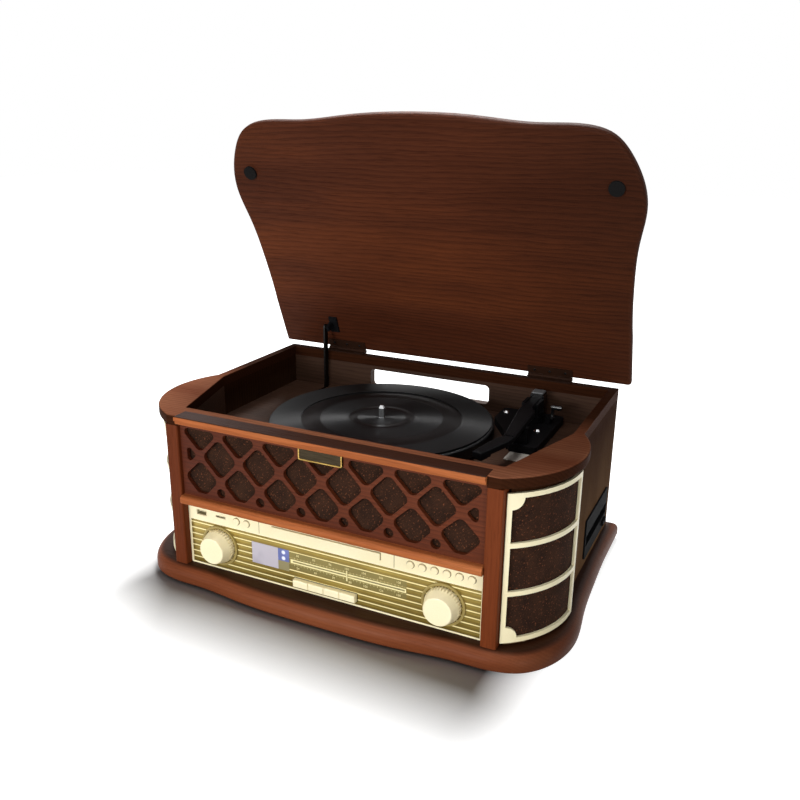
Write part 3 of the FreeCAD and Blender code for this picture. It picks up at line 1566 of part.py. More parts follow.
def build_tonearm():
    """The yoke that swings, and the arm, weight, headshell and cartridge that it carries."""
    disc = cylinder("yoke_disc", "Z", s.yoke_radius, (yoke_low, yoke_top), (arm_x, arm_y))
    stem = cylinder(
        "yoke_stem", "Z", s.yoke_stem_radius, (yoke_low - s.yoke_stem_length, yoke_low), (arm_x, arm_y))
    inner = s.arm_root_width / 2 + s.running_gap
    outer = inner + s.yoke_cheek
    deep = (arm_y - s.yoke_cheek_length / 2, arm_y + s.yoke_cheek_length / 2)
    tall = (yoke_low, arm_z + s.arm_root_height / 2)
    cheeks = [
        box("yoke_cheek_left", (arm_x - outer, arm_x - inner), deep, tall),
        box("yoke_cheek_right", (arm_x + inner, arm_x + outer), deep, tall),
    ]
    pin_span = (arm_x - outer, arm_x + outer)
    hole = cylinder(
        "yoke_bore", "X", s.yoke_pin_radius + s.bearing_gap, widen(pin_span, s.overrun), (arm_y, arm_z))
    node(cut("yoke", fuse("yoke_whole", disc, stem, *cheeks), hole), "arm_yoke")

    beam = new_body("arm_beam")
    sections = []
    wide_x = arm_x + s.arm_knee_outward * (s.arm_wide_forward / s.arm_knee_forward)
    stations = (
        ("tail", arm_x, arm_y + s.arm_tail_length, s.arm_root_width, s.arm_root_height),
        ("root", arm_x, arm_y - s.yoke_cheek_length, s.arm_root_width, s.arm_root_height),
        ("wide", wide_x, arm_y - s.arm_wide_forward, s.arm_wide_width, s.arm_root_height),
        ("end", knee[0], knee[1], s.arm_end_width, s.arm_end_height),
    )
    for name, x, y, width, height in stations:
        drawing = sketch(beam, "arm_" + name, "XZ", y)
        draw_outline(drawing, rectangle(
            (x - width / 2, x + width / 2), (arm_z - height / 2, arm_z + height / 2)), s.arm_round)
        sections.append(drawing)
    loft = beam.newObject("PartDesign::AdditiveLoft", "arm_loft")
    loft.Profile = sections[0]
    loft.Sections = sections[1:]
    loft.Ruled = True
    pin = sketch(beam, "arm_pin", "YZ", arm_x)
    draw_circle(pin, (arm_y, arm_z), s.yoke_pin_radius)
    pad(beam, pin, outer * 2, both_ways=True)
    node(beam, "tonearm")

    tail = arm_y + s.arm_tail_length
    half = s.weight_width / 2
    tall = s.weight_height / 2
    weight = new_body("weight")
    drawing = sketch(weight, "weight_outline", "XZ", tail)
    draw_outline(drawing, rectangle((arm_x - half, arm_x + half), (arm_z - tall, arm_z + tall)), s.base_round)
    pad(weight, drawing, s.weight_length, backwards=True)
    node(weight, "counterweight")
    build_headshell()


def build_headshell():
    """The headshell, bent inwards at the knee, and the cartridge with its stylus."""
    along_x = arm_tip[0] - knee[0]
    along_y = arm_tip[1] - knee[1]
    length = root(along_x * along_x + along_y * along_y)

    def spot(share, offset, back=0):
        """Give the point at a share of the headshell's length, off its middle line."""
        run = length * share - back
        return (
            knee[0] + (along_x * run - along_y * offset) / length,
            knee[1] + (along_y * run + along_x * offset) / length,
        )

    half = s.arm_end_width / 2
    wide = s.shell_width / 2
    tip = s.shell_tip_width / 2
    shell_z = (arm_z - s.shell_height / 2, arm_z + s.shell_height / 2)
    shell = prism("shell", [
        (knee[0] - half, knee[1]), spot(SHELL_SHOULDER_SHARE, -wide), spot(1, -tip),
        spot(1, tip), spot(SHELL_SHOULDER_SHARE, wide), (knee[0] + half, knee[1]),
    ], shell_z)
    shell = rounded("shell_soft", shell, lambda edge: lies_at(edge, "Z", shell_z[1]), s.shell_round)
    low = shell_z[0] - s.cartridge_height
    side = s.cartridge_width / 2
    margin = s.rest_lip
    block = prism("cartridge_block", [
        spot(1, -side, margin + s.cartridge_length), spot(1, -side, margin),
        spot(1, side, margin), spot(1, side, margin + s.cartridge_length),
    ], (low, shell_z[0]))
    needle = cylinder(
        "stylus", "Z", s.stylus_radius, (low - s.stylus_length, low), spot(1, as_size(0), margin * 2))
    node(group("head", shell, fuse("cartridge", block, needle)), "headshell")


def on_lid(thing):
    """Set a piece, modelled about the hinge pin with the lid shut, on the open lid."""
    place(thing, 0, hinge_y, hinge_z)
    return turn(thing, -X_AXIS, s.lid_open_angle)


def build_lid():
    """The lid, its bumpers, the hinges and the stay."""
    board = serpentine(
        s.lid_width.value / 2, (s.lid_length - s.lid_edge_gap).value, LID_OUTLINE_SHARES,
        -s.lid_edge_gap.value, (lid_under.value, (lid_under + s.lid_thickness).value),
    )
    for level in (lid_under, lid_under + s.lid_thickness):
        edges = [e for e in level_edges(board, level) if not lies_at(e, "Y", -s.lid_edge_gap)]
        board = board.makeFillet(s.lid_round.value, edges)
    lid = doc.addObject("Part::Feature", "lid")
    lid.Shape = board
    node(on_lid(lid), "lid_panel")
    bumpers = [
        cylinder(
            f"bumper_{side}", "Z", s.bumper_radius, (lid_under - s.bumper_thickness, lid_under),
            (x, -s.bumper_reach),
        )
        for side, x in (("left", -s.bumper_offset), ("right", s.bumper_offset))
    ]
    node(on_lid(group("bumpers", *bumpers)), "lid_bumpers")

    third = s.hinge_length / 3
    gap = s.running_gap / 2
    half = s.hinge_length / 2
    fixed = []
    moving = []
    for side, x in (("left", -s.hinge_centre), ("right", s.hinge_centre)):
        whole = (x - half, x + half)
        ends = ((x - half, x - half + third - gap), (x + half - third + gap, x + half))
        middle = (x - third / 2 + gap, x + third / 2 - gap)
        leaf_z = (rim_top, rim_top + s.hinge_leaf)
        pieces = [box(f"fixed_leaf_{side}", whole, (rear_y - s.hinge_leaf_width, rear_y), leaf_z)]
        for i, span in enumerate(ends):
            pieces.append(box(f"fixed_tab_{side}_{i}", span, (rear_y, hinge_y), leaf_z))
            pieces.append(cylinder(
                f"fixed_knuckle_{side}_{i}", "X", s.hinge_barrel_radius, span, (hinge_y, hinge_z)))
        pieces.append(cylinder(f"hinge_pin_{side}", "X", s.hinge_pin_radius, whole, (hinge_y, hinge_z)))
        fixed.append(fuse(f"fixed_hinge_{side}", *pieces))
        leaf_z = (lid_under - s.hinge_leaf, lid_under)
        edge = -s.lid_edge_gap
        leaf = box(f"moving_leaf_{side}", whole, (edge - s.hinge_leaf_width, edge), leaf_z)
        tab = box(f"moving_tab_{side}", middle, (edge, as_size(0)), leaf_z)
        barrel = cylinder(f"moving_knuckle_{side}", "X", s.hinge_barrel_radius, middle, (0, 0))
        bore = cylinder(
            f"moving_bore_{side}", "X", s.hinge_pin_radius + s.bearing_gap,
            widen(middle, s.overrun), (0, 0),
        )
        moving.append(cut(f"moving_hinge_{side}", fuse(f"moving_whole_{side}", leaf, tab, barrel), bore))
    node(group("fixed_hinges", *fixed), "cabinet_hinge_leaves")
    node(on_lid(group("moving_hinges", *moving)), "lid_hinge_leaves")
    build_stay()


def build_stay():
    """The stay that hangs from the lid through a slot in the deck, and its bracket."""
    bar_x = (s.stay_offset - s.stay_thickness / 2, s.stay_offset + s.stay_thickness / 2)
    lug_start = bar_x[1] + s.stay_bracket_gap
    long = (-s.stay_reach - s.stay_bracket_length / 2, -s.stay_reach + s.stay_bracket_length / 2)
    plate = box(
        "bracket_plate", (lug_start, lug_start + s.stay_bracket_width), long,
        (lid_under - s.stay_bracket_plate, lid_under),
    )
    lug = box(
        "bracket_lug", (lug_start, lug_start + s.stay_bracket_width / 3),
        (-s.stay_reach - s.stay_width / 2, -s.stay_reach + s.stay_width / 2),
        (stay_hang - s.stay_width / 2, lid_under - s.stay_bracket_plate),
    )
    pin = cylinder(
        "bracket_pin", "X", s.stay_pin_radius, (bar_x[0] - s.stay_slot_margin, lug_start),
        (-s.stay_reach, stay_hang),
    )
    node(on_lid(fuse("bracket", plate, lug, pin)), "stay_bracket")

    bar = new_body("stay_body")
    drawing = sketch(bar, "stay_outline", "YZ", bar_x[0])
    half = s.stay_width / 2
    foot_top = deck_bottom - s.running_gap
    foot_bottom = foot_top - s.stay_foot_thickness
    draw_outline(
        drawing, rectangle((stay_y - half, stay_y + half), (foot_bottom, stay_z + half)),
        {2: s.stay_width * BAR_END_SHARE, 3: s.stay_width * BAR_END_SHARE},
    )
    pad(bar, drawing, s.stay_thickness)
    hole = sketch(bar, "stay_hole", "YZ", bar_x[0])
    draw_circle(hole, (stay_y, stay_z), s.stay_pin_radius + s.bearing_gap)
    pocket(bar, hole, s.stay_thickness, backwards=True)
    foot = sketch(bar, "stay_foot", "YZ", s.stay_offset)
    draw_outline(foot, rectangle((stay_y - half, stay_y + half), (foot_bottom, foot_top)))
    pad(bar, foot, s.stay_foot_width, both_ways=True)
    node(bar, "stay_bar")


def build_cassette():
    """The cassette bezel in the right wall, the housing behind it and the eject key."""
    span_y, span_z = cassette_span()
    face = outer_half + s.cassette_proud
    bezel = new_body("cassette_plate")
    drawing = sketch(bezel, "cassette_outline", "YZ", outer_half)
    draw_outline(drawing, rectangle(span_y, span_z), s.cassette_round)
    pad(bezel, drawing, s.cassette_proud)
    inside = -s.tape_wall - s.seat_gap
    plug = sketch(bezel, "cassette_plug", "YZ", outer_half)
    draw_outline(plug, rectangle(widen(span_y, inside), widen(span_z, inside)))
    pad(bezel, plug, s.wall_thickness, backwards=True)
    middle = (span_y[0] + span_y[1]) / 2
    slot_y = (middle - s.tape_width / 2, middle + s.tape_width / 2)
    slot_z = (plinth_top + s.tape_level, plinth_top + s.tape_level + s.tape_height)
    slot = sketch(bezel, "tape_slot", "YZ", face)
    draw_outline(slot, rectangle(slot_y, slot_z))
    pocket(bezel, slot, s.wall_thickness + s.cassette_proud)
    key_y = (span_y[1] - s.eject_inset - s.eject_width, span_y[1] - s.eject_inset)
    key_low = span_z[0] + s.eject_level
    key_high = key_low + s.eject_height
    hole = sketch(bezel, "eject_hole", "YZ", face)
    draw_outline(hole, rectangle(widen(key_y, s.running_gap), widen((key_low, key_high), s.running_gap)))
    pocket(bezel, hole, s.wall_thickness + s.cassette_proud)

    shell = box(
        "tape_shell", (inner_half - s.tape_depth, inner_half),
        widen(slot_y, s.tape_wall), widen(slot_z, s.tape_wall),
    )
    hollow = box(
        "tape_hollow", (inner_half - s.tape_depth + s.tape_wall, inner_half + s.overrun), slot_y, slot_z)
    node(fuse("cassette", bezel, cut("tape_housing", shell, hollow)), "cassette_slot")
    key = new_body("eject_body")
    drawing = sketch(key, "eject_outline", "YZ", face - s.eject_depth)
    draw_outline(drawing, rectangle(key_y, (key_low, key_high)))
    block = pad(key, drawing, s.eject_depth + s.eject_proud)
    tip = face + s.eject_proud
    round_edges(key, block, lambda edge: lies_at(edge, "X", tip), s.key_round)
    node(key, "eject_key")


def build_all():
    """Build every sub-assembly, test each piece and write its file."""
    build_plinth()
    build_walls()
    build_posts_and_rails()
    corner_cloths = build_corner_speakers()
    build_well()
    build_fretwork(corner_cloths)
    build_fascia()
    build_sockets()
    build_control_board()
    build_knob("volume_knob", -s.knob_offset)
    build_knob("tuning_knob", s.knob_offset)
    build_pushers()
    build_drawer()
    build_platter()
    build_tonearm_base()
    build_cue_lever()
    build_tonearm()
    build_lid()
    build_cassette()
    doc.recompute()
    for item in doc.Objects:
        if "Invalid" in item.State or "Error" in item.State:
            raise RuntimeError(f"{item.Label} failed: {item.State}")
    os.makedirs("parts", exist_ok=True)
    for item in NODES:
        if item.Shape.isNull() or not item.Shape.isValid():
            raise RuntimeError(f"{item.Label} has no sound shape")
    for item in NODES:
        item.Shape.exportStep(f"parts/{item.Label}.step")


build_all()
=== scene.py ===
"""The looks of a wooden music centre: a turntable under a lid, over a dial and a fretwork front.

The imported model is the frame. Its nodes get procedural finishes, and the small pieces that a
maker would add last (dial print, trims, cloths, screws) are built on top of it, in a studio.
A name that ends in _mm holds millimetres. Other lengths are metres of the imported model.
"""
from __future__ import annotations

import logging
import math
from dataclasses import dataclass, field
from enum import Enum
from functools import partial
from typing import Any, Callable, Sequence

import bmesh
import bpy
from bpy.types import Collection, Material, Mesh, Node, NodeSocket, NodeTree, Object
from mathutils import Matrix, Vector

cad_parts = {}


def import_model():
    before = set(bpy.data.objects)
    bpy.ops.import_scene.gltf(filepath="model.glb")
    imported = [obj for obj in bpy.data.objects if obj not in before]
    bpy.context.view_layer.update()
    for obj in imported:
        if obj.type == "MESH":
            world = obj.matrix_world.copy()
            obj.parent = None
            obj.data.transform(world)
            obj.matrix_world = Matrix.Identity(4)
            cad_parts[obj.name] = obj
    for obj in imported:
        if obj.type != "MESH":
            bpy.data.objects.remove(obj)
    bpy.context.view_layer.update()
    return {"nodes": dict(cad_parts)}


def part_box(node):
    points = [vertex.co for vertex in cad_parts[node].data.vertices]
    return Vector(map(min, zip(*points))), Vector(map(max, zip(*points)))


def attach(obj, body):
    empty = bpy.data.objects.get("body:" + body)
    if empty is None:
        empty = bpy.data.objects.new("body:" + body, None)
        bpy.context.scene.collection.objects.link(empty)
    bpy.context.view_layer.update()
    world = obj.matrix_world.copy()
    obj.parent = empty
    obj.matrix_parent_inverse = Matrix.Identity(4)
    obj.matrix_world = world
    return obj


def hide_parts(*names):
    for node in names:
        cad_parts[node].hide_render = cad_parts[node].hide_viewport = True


LOG = logging.getLogger("music_centre")
MM = 0.001
ZERO = (0.0, 0.0, 0.0)
WHITE = (1.0, 1.0, 1.0, 1.0)
UNIT = (0.0, 1.0)
BUMP_STRENGTH = 0.6
WELD_M = 1e-6
# The middle of the right corner's curve, across and deep.
EAR_MM = (145.3, -65.8)

Span = tuple[float, float]
Point = tuple[float, float, float]


def numbered(stem: str, count: int) -> list[str]:
    """Name the members of a numbered set, counted from 1."""
    return [f"{stem}_{i}" for i in range(1, count + 1)]


KEYS = numbered("piano_key", 4)
BUTTONS = numbered("left_button", 2) + numbered("right_button", 6)


class Grain(Enum):
    """The way that grain runs in the frame."""

    ACROSS = 0
    UPRIGHT = 2


class Body(Enum):
    """The rigid bodies that new pieces ride on."""

    CABINET = "cabinet"
    LID = "lid"
    ARM = "arm"


class Slot(Enum):
    """The record's slots, one named for each new piece."""

    CREAM = "cream_plastic"
    BLACK = "black_plastic"
    DIAL = "gold_dial"
    BRASS = "brass"
    STEEL = "steel"
    CLOTH = "cloth"
    WOOD = "dark_wood"


def linear(code: str) -> tuple[float, float, float, float]:
    """Turn an sRGB hex colour into linear light.

    Args:
        code: six hex digits.

    Returns:
        Red, green, blue and an alpha of 1.
    """
    parts = [int(code[i:i + 2], 16) / 255 for i in (0, 2, 4)]
    red, green, blue = (
        c / 12.92 if c <= 0.04045 else ((c + 0.055) / 1.055) ** 2.4 for c in parts)
    return red, green, blue, 1.0


class Nodes:
    """Short ways to add nodes to one tree."""

    def __init__(self, tree: NodeTree) -> None:
        """Keep the tree that gets the nodes."""
        self.tree = tree

    def connect(self, node: Node, inputs: dict[Any, Any]) -> None:
        """Link or set a node's inputs.

        Args:
            node: the node.
            inputs: input name or index to a socket to link from, or to a value.
        """
        for key, value in inputs.items():
            if isinstance(value, NodeSocket):
                self.tree.links.new(value, node.inputs[key])
            else:
                node.inputs[key].default_value = value

    def add(self, kind: str, inputs: dict[Any, Any] | None = None, **settings: Any) -> Node:
        """Add one node.

        Args:
            kind: the node's type name.
            inputs: what its inputs take, as for connect.
            settings: attributes of the node.

        Returns:
            The new node.
        """
        node = self.tree.nodes.new(kind)
        for name, value in settings.items():
            setattr(node, name, value)
        self.connect(node, inputs or {})
        return node

    def value(self, how: str, first: Any, second: Any = 0.0, third: Any = 0.0) -> NodeSocket:
        """Work out one value from up to three and return its socket."""
        inputs = {0: first, 1: second, 2: third}
        return self.add("ShaderNodeMath", inputs, operation=how).outputs[0]

    def remap(
        self, value: NodeSocket, source: Span = UNIT, target: Span = UNIT, smooth: bool = False,
    ) -> NodeSocket:
        """Map a value from one span to another and hold it there.

        Args:
            value: the value.
            source: the span that it comes from.
            target: the span that it goes to.
            smooth: whether it eases in and out.

        Returns:
            The new value.
        """
        inputs: dict[str, Any] = {"Value": value}
        for side, span in (("From", source), ("To", target)):
            inputs[f"{side} Min"], inputs[f"{side} Max"] = span
        kind = "SMOOTHSTEP" if smooth else "LINEAR"
        return self.add("ShaderNodeMapRange", inputs, interpolation_type=kind).outputs[0]

    def seen(self) -> NodeSocket:
        """Pick out the rays that show a surface, straight or mirrored.

        Returns:
            A socket that is 1 for them and 0 for rays that only carry light.
        """
        path = self.add("ShaderNodeLightPath").outputs
        mirrored = self.value("MAXIMUM", path["Is Glossy Ray"], path["Is Transmission Ray"])
        return self.value("MAXIMUM", path["Is Camera Ray"], mirrored)


class Shade(Nodes):
    """A material that is being built: its shader and the object's own coordinates."""

    def __init__(self, name: str) -> None:
        """Start a material.

        Args:
            name: the finish's own name.
        """
        self.material = bpy.data.materials.new(name)
        self.material.use_nodes = True
        super().__init__(self.material.node_tree)
        self.shader = self.tree.nodes["Principled BSDF"]
        self.place = self.add("ShaderNodeTexCoord").outputs["Object"]
        self.along = self.add("ShaderNodeSeparateXYZ", {0: self.place}).outputs

    def wear(self, inputs: dict[str, Any]) -> None:
        """Link or set the shader's own inputs."""
        self.connect(self.shader, inputs)

    def vector(self, how: str, first: Any, second: Any = ZERO) -> NodeSocket:
        """Work out one vector, or the value that a vector has, and return its socket."""
        outputs = self.add("ShaderNodeVectorMath", {0: first, 1: second}, operation=how).outputs
        return outputs["Value" if how in ("DOT_PRODUCT", "DISTANCE", "LENGTH") else "Vector"]

    def noise(
        self, size_mm: float, detail: float = 3.0,
        grain: Grain = Grain.ACROSS, stretch: float = 1.0,
    ) -> NodeSocket:
        """Make noise of a real size.

        Args:
            size_mm: the pattern's size across the grain.
            detail: how many finer layers it has.
            grain: the way that it is drawn out.
            stretch: how many times longer it is that way.

        Returns:
            The noise, 0 to 1.
        """
        scale = [1 / (size_mm * MM)] * 3
        scale[grain.value] /= stretch
        spot = self.add("ShaderNodeMapping", {"Vector": self.place, "Scale": scale}).outputs[0]
        inputs = {"Vector": spot, "Scale": 1.0, "Detail": detail}
        return self.add("ShaderNodeTexNoise", inputs).outputs["Fac"]

    def blend(self, first: NodeSocket, second: NodeSocket, share: float) -> NodeSocket:
        """Add two values, the first by its share and the second by the rest."""
        rest = self.value("MULTIPLY", second, 1 - share)
        return self.value("MULTIPLY_ADD", first, share, rest)

    def ramp(self, source: NodeSocket, places: Sequence[float], codes: Sequence[str]) -> NodeSocket:
        """Colour a value by hex stops.

        Args:
            source: the value from 0 to 1.
            places: where the stops are, lowest first.
            codes: their hex colours.

        Returns:
            The colour socket.
        """
        node = self.add("ShaderNodeValToRGB", {0: source})
        stops = node.color_ramp.elements
        while len(stops) < len(places):
            stops.new(0.5)
        for stop, place, code in zip(stops, places, codes):
            stop.position = place
            stop.color = linear(code)
        return node.outputs["Color"]

    def mix(self, factor: Any, first: Any, second: Any, how: str = "MIX") -> NodeSocket:
        """Mix two colours and return the colour socket."""
        inputs = {0: factor, 6: first, 7: second}
        return self.add("ShaderNodeMix", inputs, data_type="RGBA", blend_type=how).outputs[2]

    def tint(self, colour: NodeSocket, code: str, depth: NodeSocket) -> NodeSocket:
        """Take a colour towards a hex colour and return the colour socket."""
        return self.mix(depth, colour, linear(code))

    def bump(self, height: NodeSocket, depth_mm: float) -> None:
        """Raise the surface by a pattern of 0 to 1 whose full step is depth_mm."""
        inputs = {"Height": height, "Distance": depth_mm * MM, "Strength": BUMP_STRENGTH}
        self.wear({"Normal": self.add("ShaderNodeBump", inputs).outputs["Normal"]})


@dataclass(frozen=True)
class Finish:
    """A surface that can be built as a material."""

    name: str

    def paint(self, shade: Shade) -> None:
        """Lay the nodes of this finish, which each kind of finish does its own way."""
        raise NotImplementedError

    def material(self) -> Material:
        """Build the finish.

        Returns:
            Its material.
        """
        shade = Shade(self.name)
        self.paint(shade)
        return shade.material


@dataclass(frozen=True)
class VarnishedWood(Finish):
    """Stained ash veneer in satin varnish: fine growth lines, open pores, slow clouds of staining.
    """

    dark: str
    middle: str
    light: str
    grain: Grain = Grain.ACROSS
    tones: Point = (0.3, 0.5, 0.7)
    wander_mm: float = 55.0
    wander_stretch: float = 5.0
    wander: float = 5.0
    ring_mm: float = 5.0
    line_span: Span = (0.25, 0.95)
    line_depth: float = 0.22
    pore_mm: float = 0.9
    pore_stretch: float = 26.0
    pore_span: Span = (0.34, 0.5)
    pore_depth: float = 0.2
    pore_relief_mm: float = 0.06
    pore_dullness: float = 0.15
    roughness: float = 0.45
    gloss: float = 0.18
    # The tone and bands that darken the wood along an axis; on most finishes they are painted
    # shade.
    shade_and_stain_tone: str = "2E180D"
    shade_and_stain_bands: tuple[tuple[str, float, float], ...] = ()

    def paint(self, shade: Shade) -> None:
        """Lay clouds, growth lines, pores and any darker bands along an axis.

        Args:
            shade: the material being built.
        """
        cloud = shade.noise(self.wander_mm, grain=self.grain, stretch=self.wander_stretch)
        crosswise = [1 / (self.ring_mm * MM)] * 3
        crosswise[self.grain.value] = 0.0
        across = shade.vector("DOT_PRODUCT", shade.place, crosswise)
        rings = shade.value("FRACT", shade.value("MULTIPLY_ADD", cloud, self.wander, across))
        late = shade.remap(rings, self.line_span, (1.0, 1 - self.line_depth), smooth=True)
        fibres = shade.noise(self.pore_mm, grain=self.grain, stretch=self.pore_stretch)
        pores = shade.remap(fibres, self.pore_span)
        deep = shade.value("MULTIPLY_ADD", pores, self.pore_depth, 1 - self.pore_depth)
        colour = shade.ramp(cloud, self.tones, (self.dark, self.middle, self.light))
        # Each band takes the colour towards one darker tone along an axis: painted shade where the
        # finish says so.
        for axis, bare, full in self.shade_and_stain_bands:
            depth = shade.remap(shade.along[axis], (bare * MM, full * MM))
            colour = shade.tint(colour, self.shade_and_stain_tone, depth)
        dull = min(self.roughness + self.pore_dullness, 1.0)
        shade.wear({
            "Base Color": shade.mix(1.0, colour, shade.value("MULTIPLY", late, deep), "MULTIPLY"),
            "Roughness": shade.remap(pores, target=(dull, self.roughness)),
            "Specular IOR Level": self.gloss,
        })
        shade.bump(pores, self.pore_relief_mm)


@dataclass(frozen=True)
class SpeckledCloth(Finish):
    """Woven loudspeaker cloth, soft and dark, with odd rust-coloured threads.

    The threads are drawn coarser than real ones to show.
    """

    ground: str
    thread: str
    fleck: str
    tones: Span = (0.32, 0.68)
    thread_mm: float = 1.0
    thread_share: float = 0.45
    cloud_mm: float = 16.0
    fleck_mm: float = 1.9
    fleck_span: Span = (0.62, 0.76)
    fleck_depth: float = 0.7
    relief_mm: float = 0.3
    roughness: float = 0.9
    gloss: float = 0.1

    def paint(self, shade: Shade) -> None:
        """Lay the weave, its clouds and the flecks.

        Args:
            shade: the material being built.
        """
        weave = shade.noise(self.thread_mm, detail=1.0)
        tone = shade.blend(weave, shade.noise(self.cloud_mm), self.thread_share)
        colour = shade.ramp(tone, self.tones, (self.ground, self.thread))
        dots = shade.noise(self.fleck_mm, detail=1.0)
        flecks = shade.remap(dots, self.fleck_span, (0.0, self.fleck_depth))
        shade.wear({
            "Base Color": shade.tint(colour, self.fleck, flecks),
            "Roughness": self.roughness,
            "Specular IOR Level": self.gloss,
        })
        shade.bump(weave, self.relief_mm)


@dataclass(frozen=True)
class MouldedPlastic(Finish):
    """Moulded ABS: an even colour with faint flow clouds and a fine spark-eroded texture."""

    colour: str
    dim: str
    roughness: float = 0.4
    tones: Span = (0.3, 0.6)
    cloud_mm: float = 60.0
    texture_mm: float = 1.4
    texture_share: float = 0.3
    depth_mm: float = 0.02
    unevenness: Span = (-0.06, 0.08)
    coat: float = 0.0
    gloss: float = 0.5

    def paint(self, shade: Shade) -> None:
        """Lay the flow clouds and the texture.

        Args:
            shade: the material being built.
        """
        speck = shade.noise(self.texture_mm, detail=2.0)
        tone = shade.blend(speck, shade.noise(self.cloud_mm), self.texture_share)
        smooth, rough = (self.roughness + step for step in self.unevenness)
        shade.wear({
            "Base Color": shade.ramp(tone, self.tones, (self.dim, self.colour)),
            "Roughness": shade.remap(speck, target=(smooth, rough)),
            "Specular IOR Level": self.gloss,
            "Coat Weight": self.coat,
        })
        shade.bump(speck, self.depth_mm)


@dataclass(frozen=True)
class PlatedMetal(Finish):
    """Plated or drawn metal: bright, with fine drawing lines and slightly uneven gloss."""

    colour: str
    dim: str
    roughness: float = 0.2
    tones: Span = (0.3, 0.65)
    line_mm: float = 0.8
    line_stretch: float = 20.0
    unevenness: Span = (0.7, 1.5)
    relief_mm: float = 0.02

    def paint(self, shade: Shade) -> None:
        """Lay the drawing lines.

        Args:
            shade: the material being built.
        """
        lines = shade.noise(self.line_mm, detail=2.0, stretch=self.line_stretch)
        smooth, rough = (self.roughness * share for share in self.unevenness)
        shade.wear({
            "Base Color": shade.ramp(lines, self.tones, (self.dim, self.colour)),
            "Roughness": shade.remap(lines, target=(smooth, rough)),
            "Metallic": 1.0,
        })
        shade.bump(lines, self.relief_mm)


@dataclass(frozen=True)
class StripedDial(Finish):
    """Gold-lacquered dial sheet with pale ruled lines, left plain where the scale is printed.

    A pale light guide runs along the scale. Spans of a line are shares of the lines' pitch.
    """

    gold: str
    dim: str
    line: str
    window: str
    tones: Span = (0.25, 0.7)
    cloud_mm: float = 40.0
    first_line_mm: float = 31.2
    pitch_mm: float = 7.3
    line_span: Span = (0.07, 0.11)
    # Where the band of painted shade along each ruled line lies, and how deep it is.
    shade_by_line_span: Span = (0.3, 0.42)
    shade_by_line_depth: float = 0.7
    scale_x_mm: Span = (-45.0, 95.0)
    scale_z_mm: Span = (47.5, 67.5)
    window_depth: float = 0.75
    guide_x_mm: Span = (-43.0, 94.5)
    guide_z_mm: Span = (54.2, 58.8)
    roughness: Span = (0.16, 0.26)
    metallic: Span = (0.6, 0.1)
    relief_mm: float = 0.08

    def inside(self, shade: Shade, wide: Span, high: Span) -> NodeSocket:
        """Tell where the sheet lies inside an upright rectangle.

        Args:
            shade: the material being built.
            wide: the rectangle's ends across, in mm.
            high: the rectangle's ends upward, in mm.

        Returns:
            A socket that is 1 inside and 0 outside.
        """
        flags = [
            shade.value("COMPARE", shade.along[axis], (low + top) / 2 * MM, (top - low) / 2 * MM)
            for axis, (low, top) in (("X", wide), ("Z", high))
        ]
        return shade.value("MULTIPLY", *flags)

    def paint(self, shade: Shade) -> None:
        """Lay the lacquer, ruled lines with painted shade, the plain window and the light guide.

        Args:
            shade: the material being built.
        """
        first = 0.5 - self.first_line_mm / self.pitch_mm
        step = shade.value("FRACT", shade.value(
            "MULTIPLY_ADD", shade.along["Z"], 1 / (self.pitch_mm * MM), first))
        off_line = shade.value("ABSOLUTE", shade.value("SUBTRACT", step, 0.5))
        line = shade.remap(off_line, self.line_span, (1.0, 0.0))
        # A darker band along each ruled line is painted shade of the raised line.
        shade_by_line = shade.remap(step, self.shade_by_line_span, (0.0, self.shade_by_line_depth))
        window = self.inside(shade, self.scale_x_mm, self.scale_z_mm)
        guide = self.inside(shade, self.guide_x_mm, self.guide_z_mm)
        outside = shade.value("SUBTRACT", 1.0, window)
        cloud = shade.noise(self.cloud_mm)
        colour = shade.ramp(cloud, self.tones, (self.dim, self.gold))
        for code, depth in (
            (self.dim, shade.value("MULTIPLY", shade_by_line, outside)),
            (self.line, shade.value("MULTIPLY", line, outside)),
            (self.window, shade.value("MULTIPLY", window, self.window_depth)),
            (self.line, guide),
        ):
            colour = shade.tint(colour, code, depth)
        shade.wear({
            "Base Color": colour,
            "Roughness": shade.remap(cloud, target=self.roughness),
            "Metallic": shade.remap(shade.value("MAXIMUM", line, guide), target=self.metallic),
        })
        shade.bump(line, self.relief_mm)


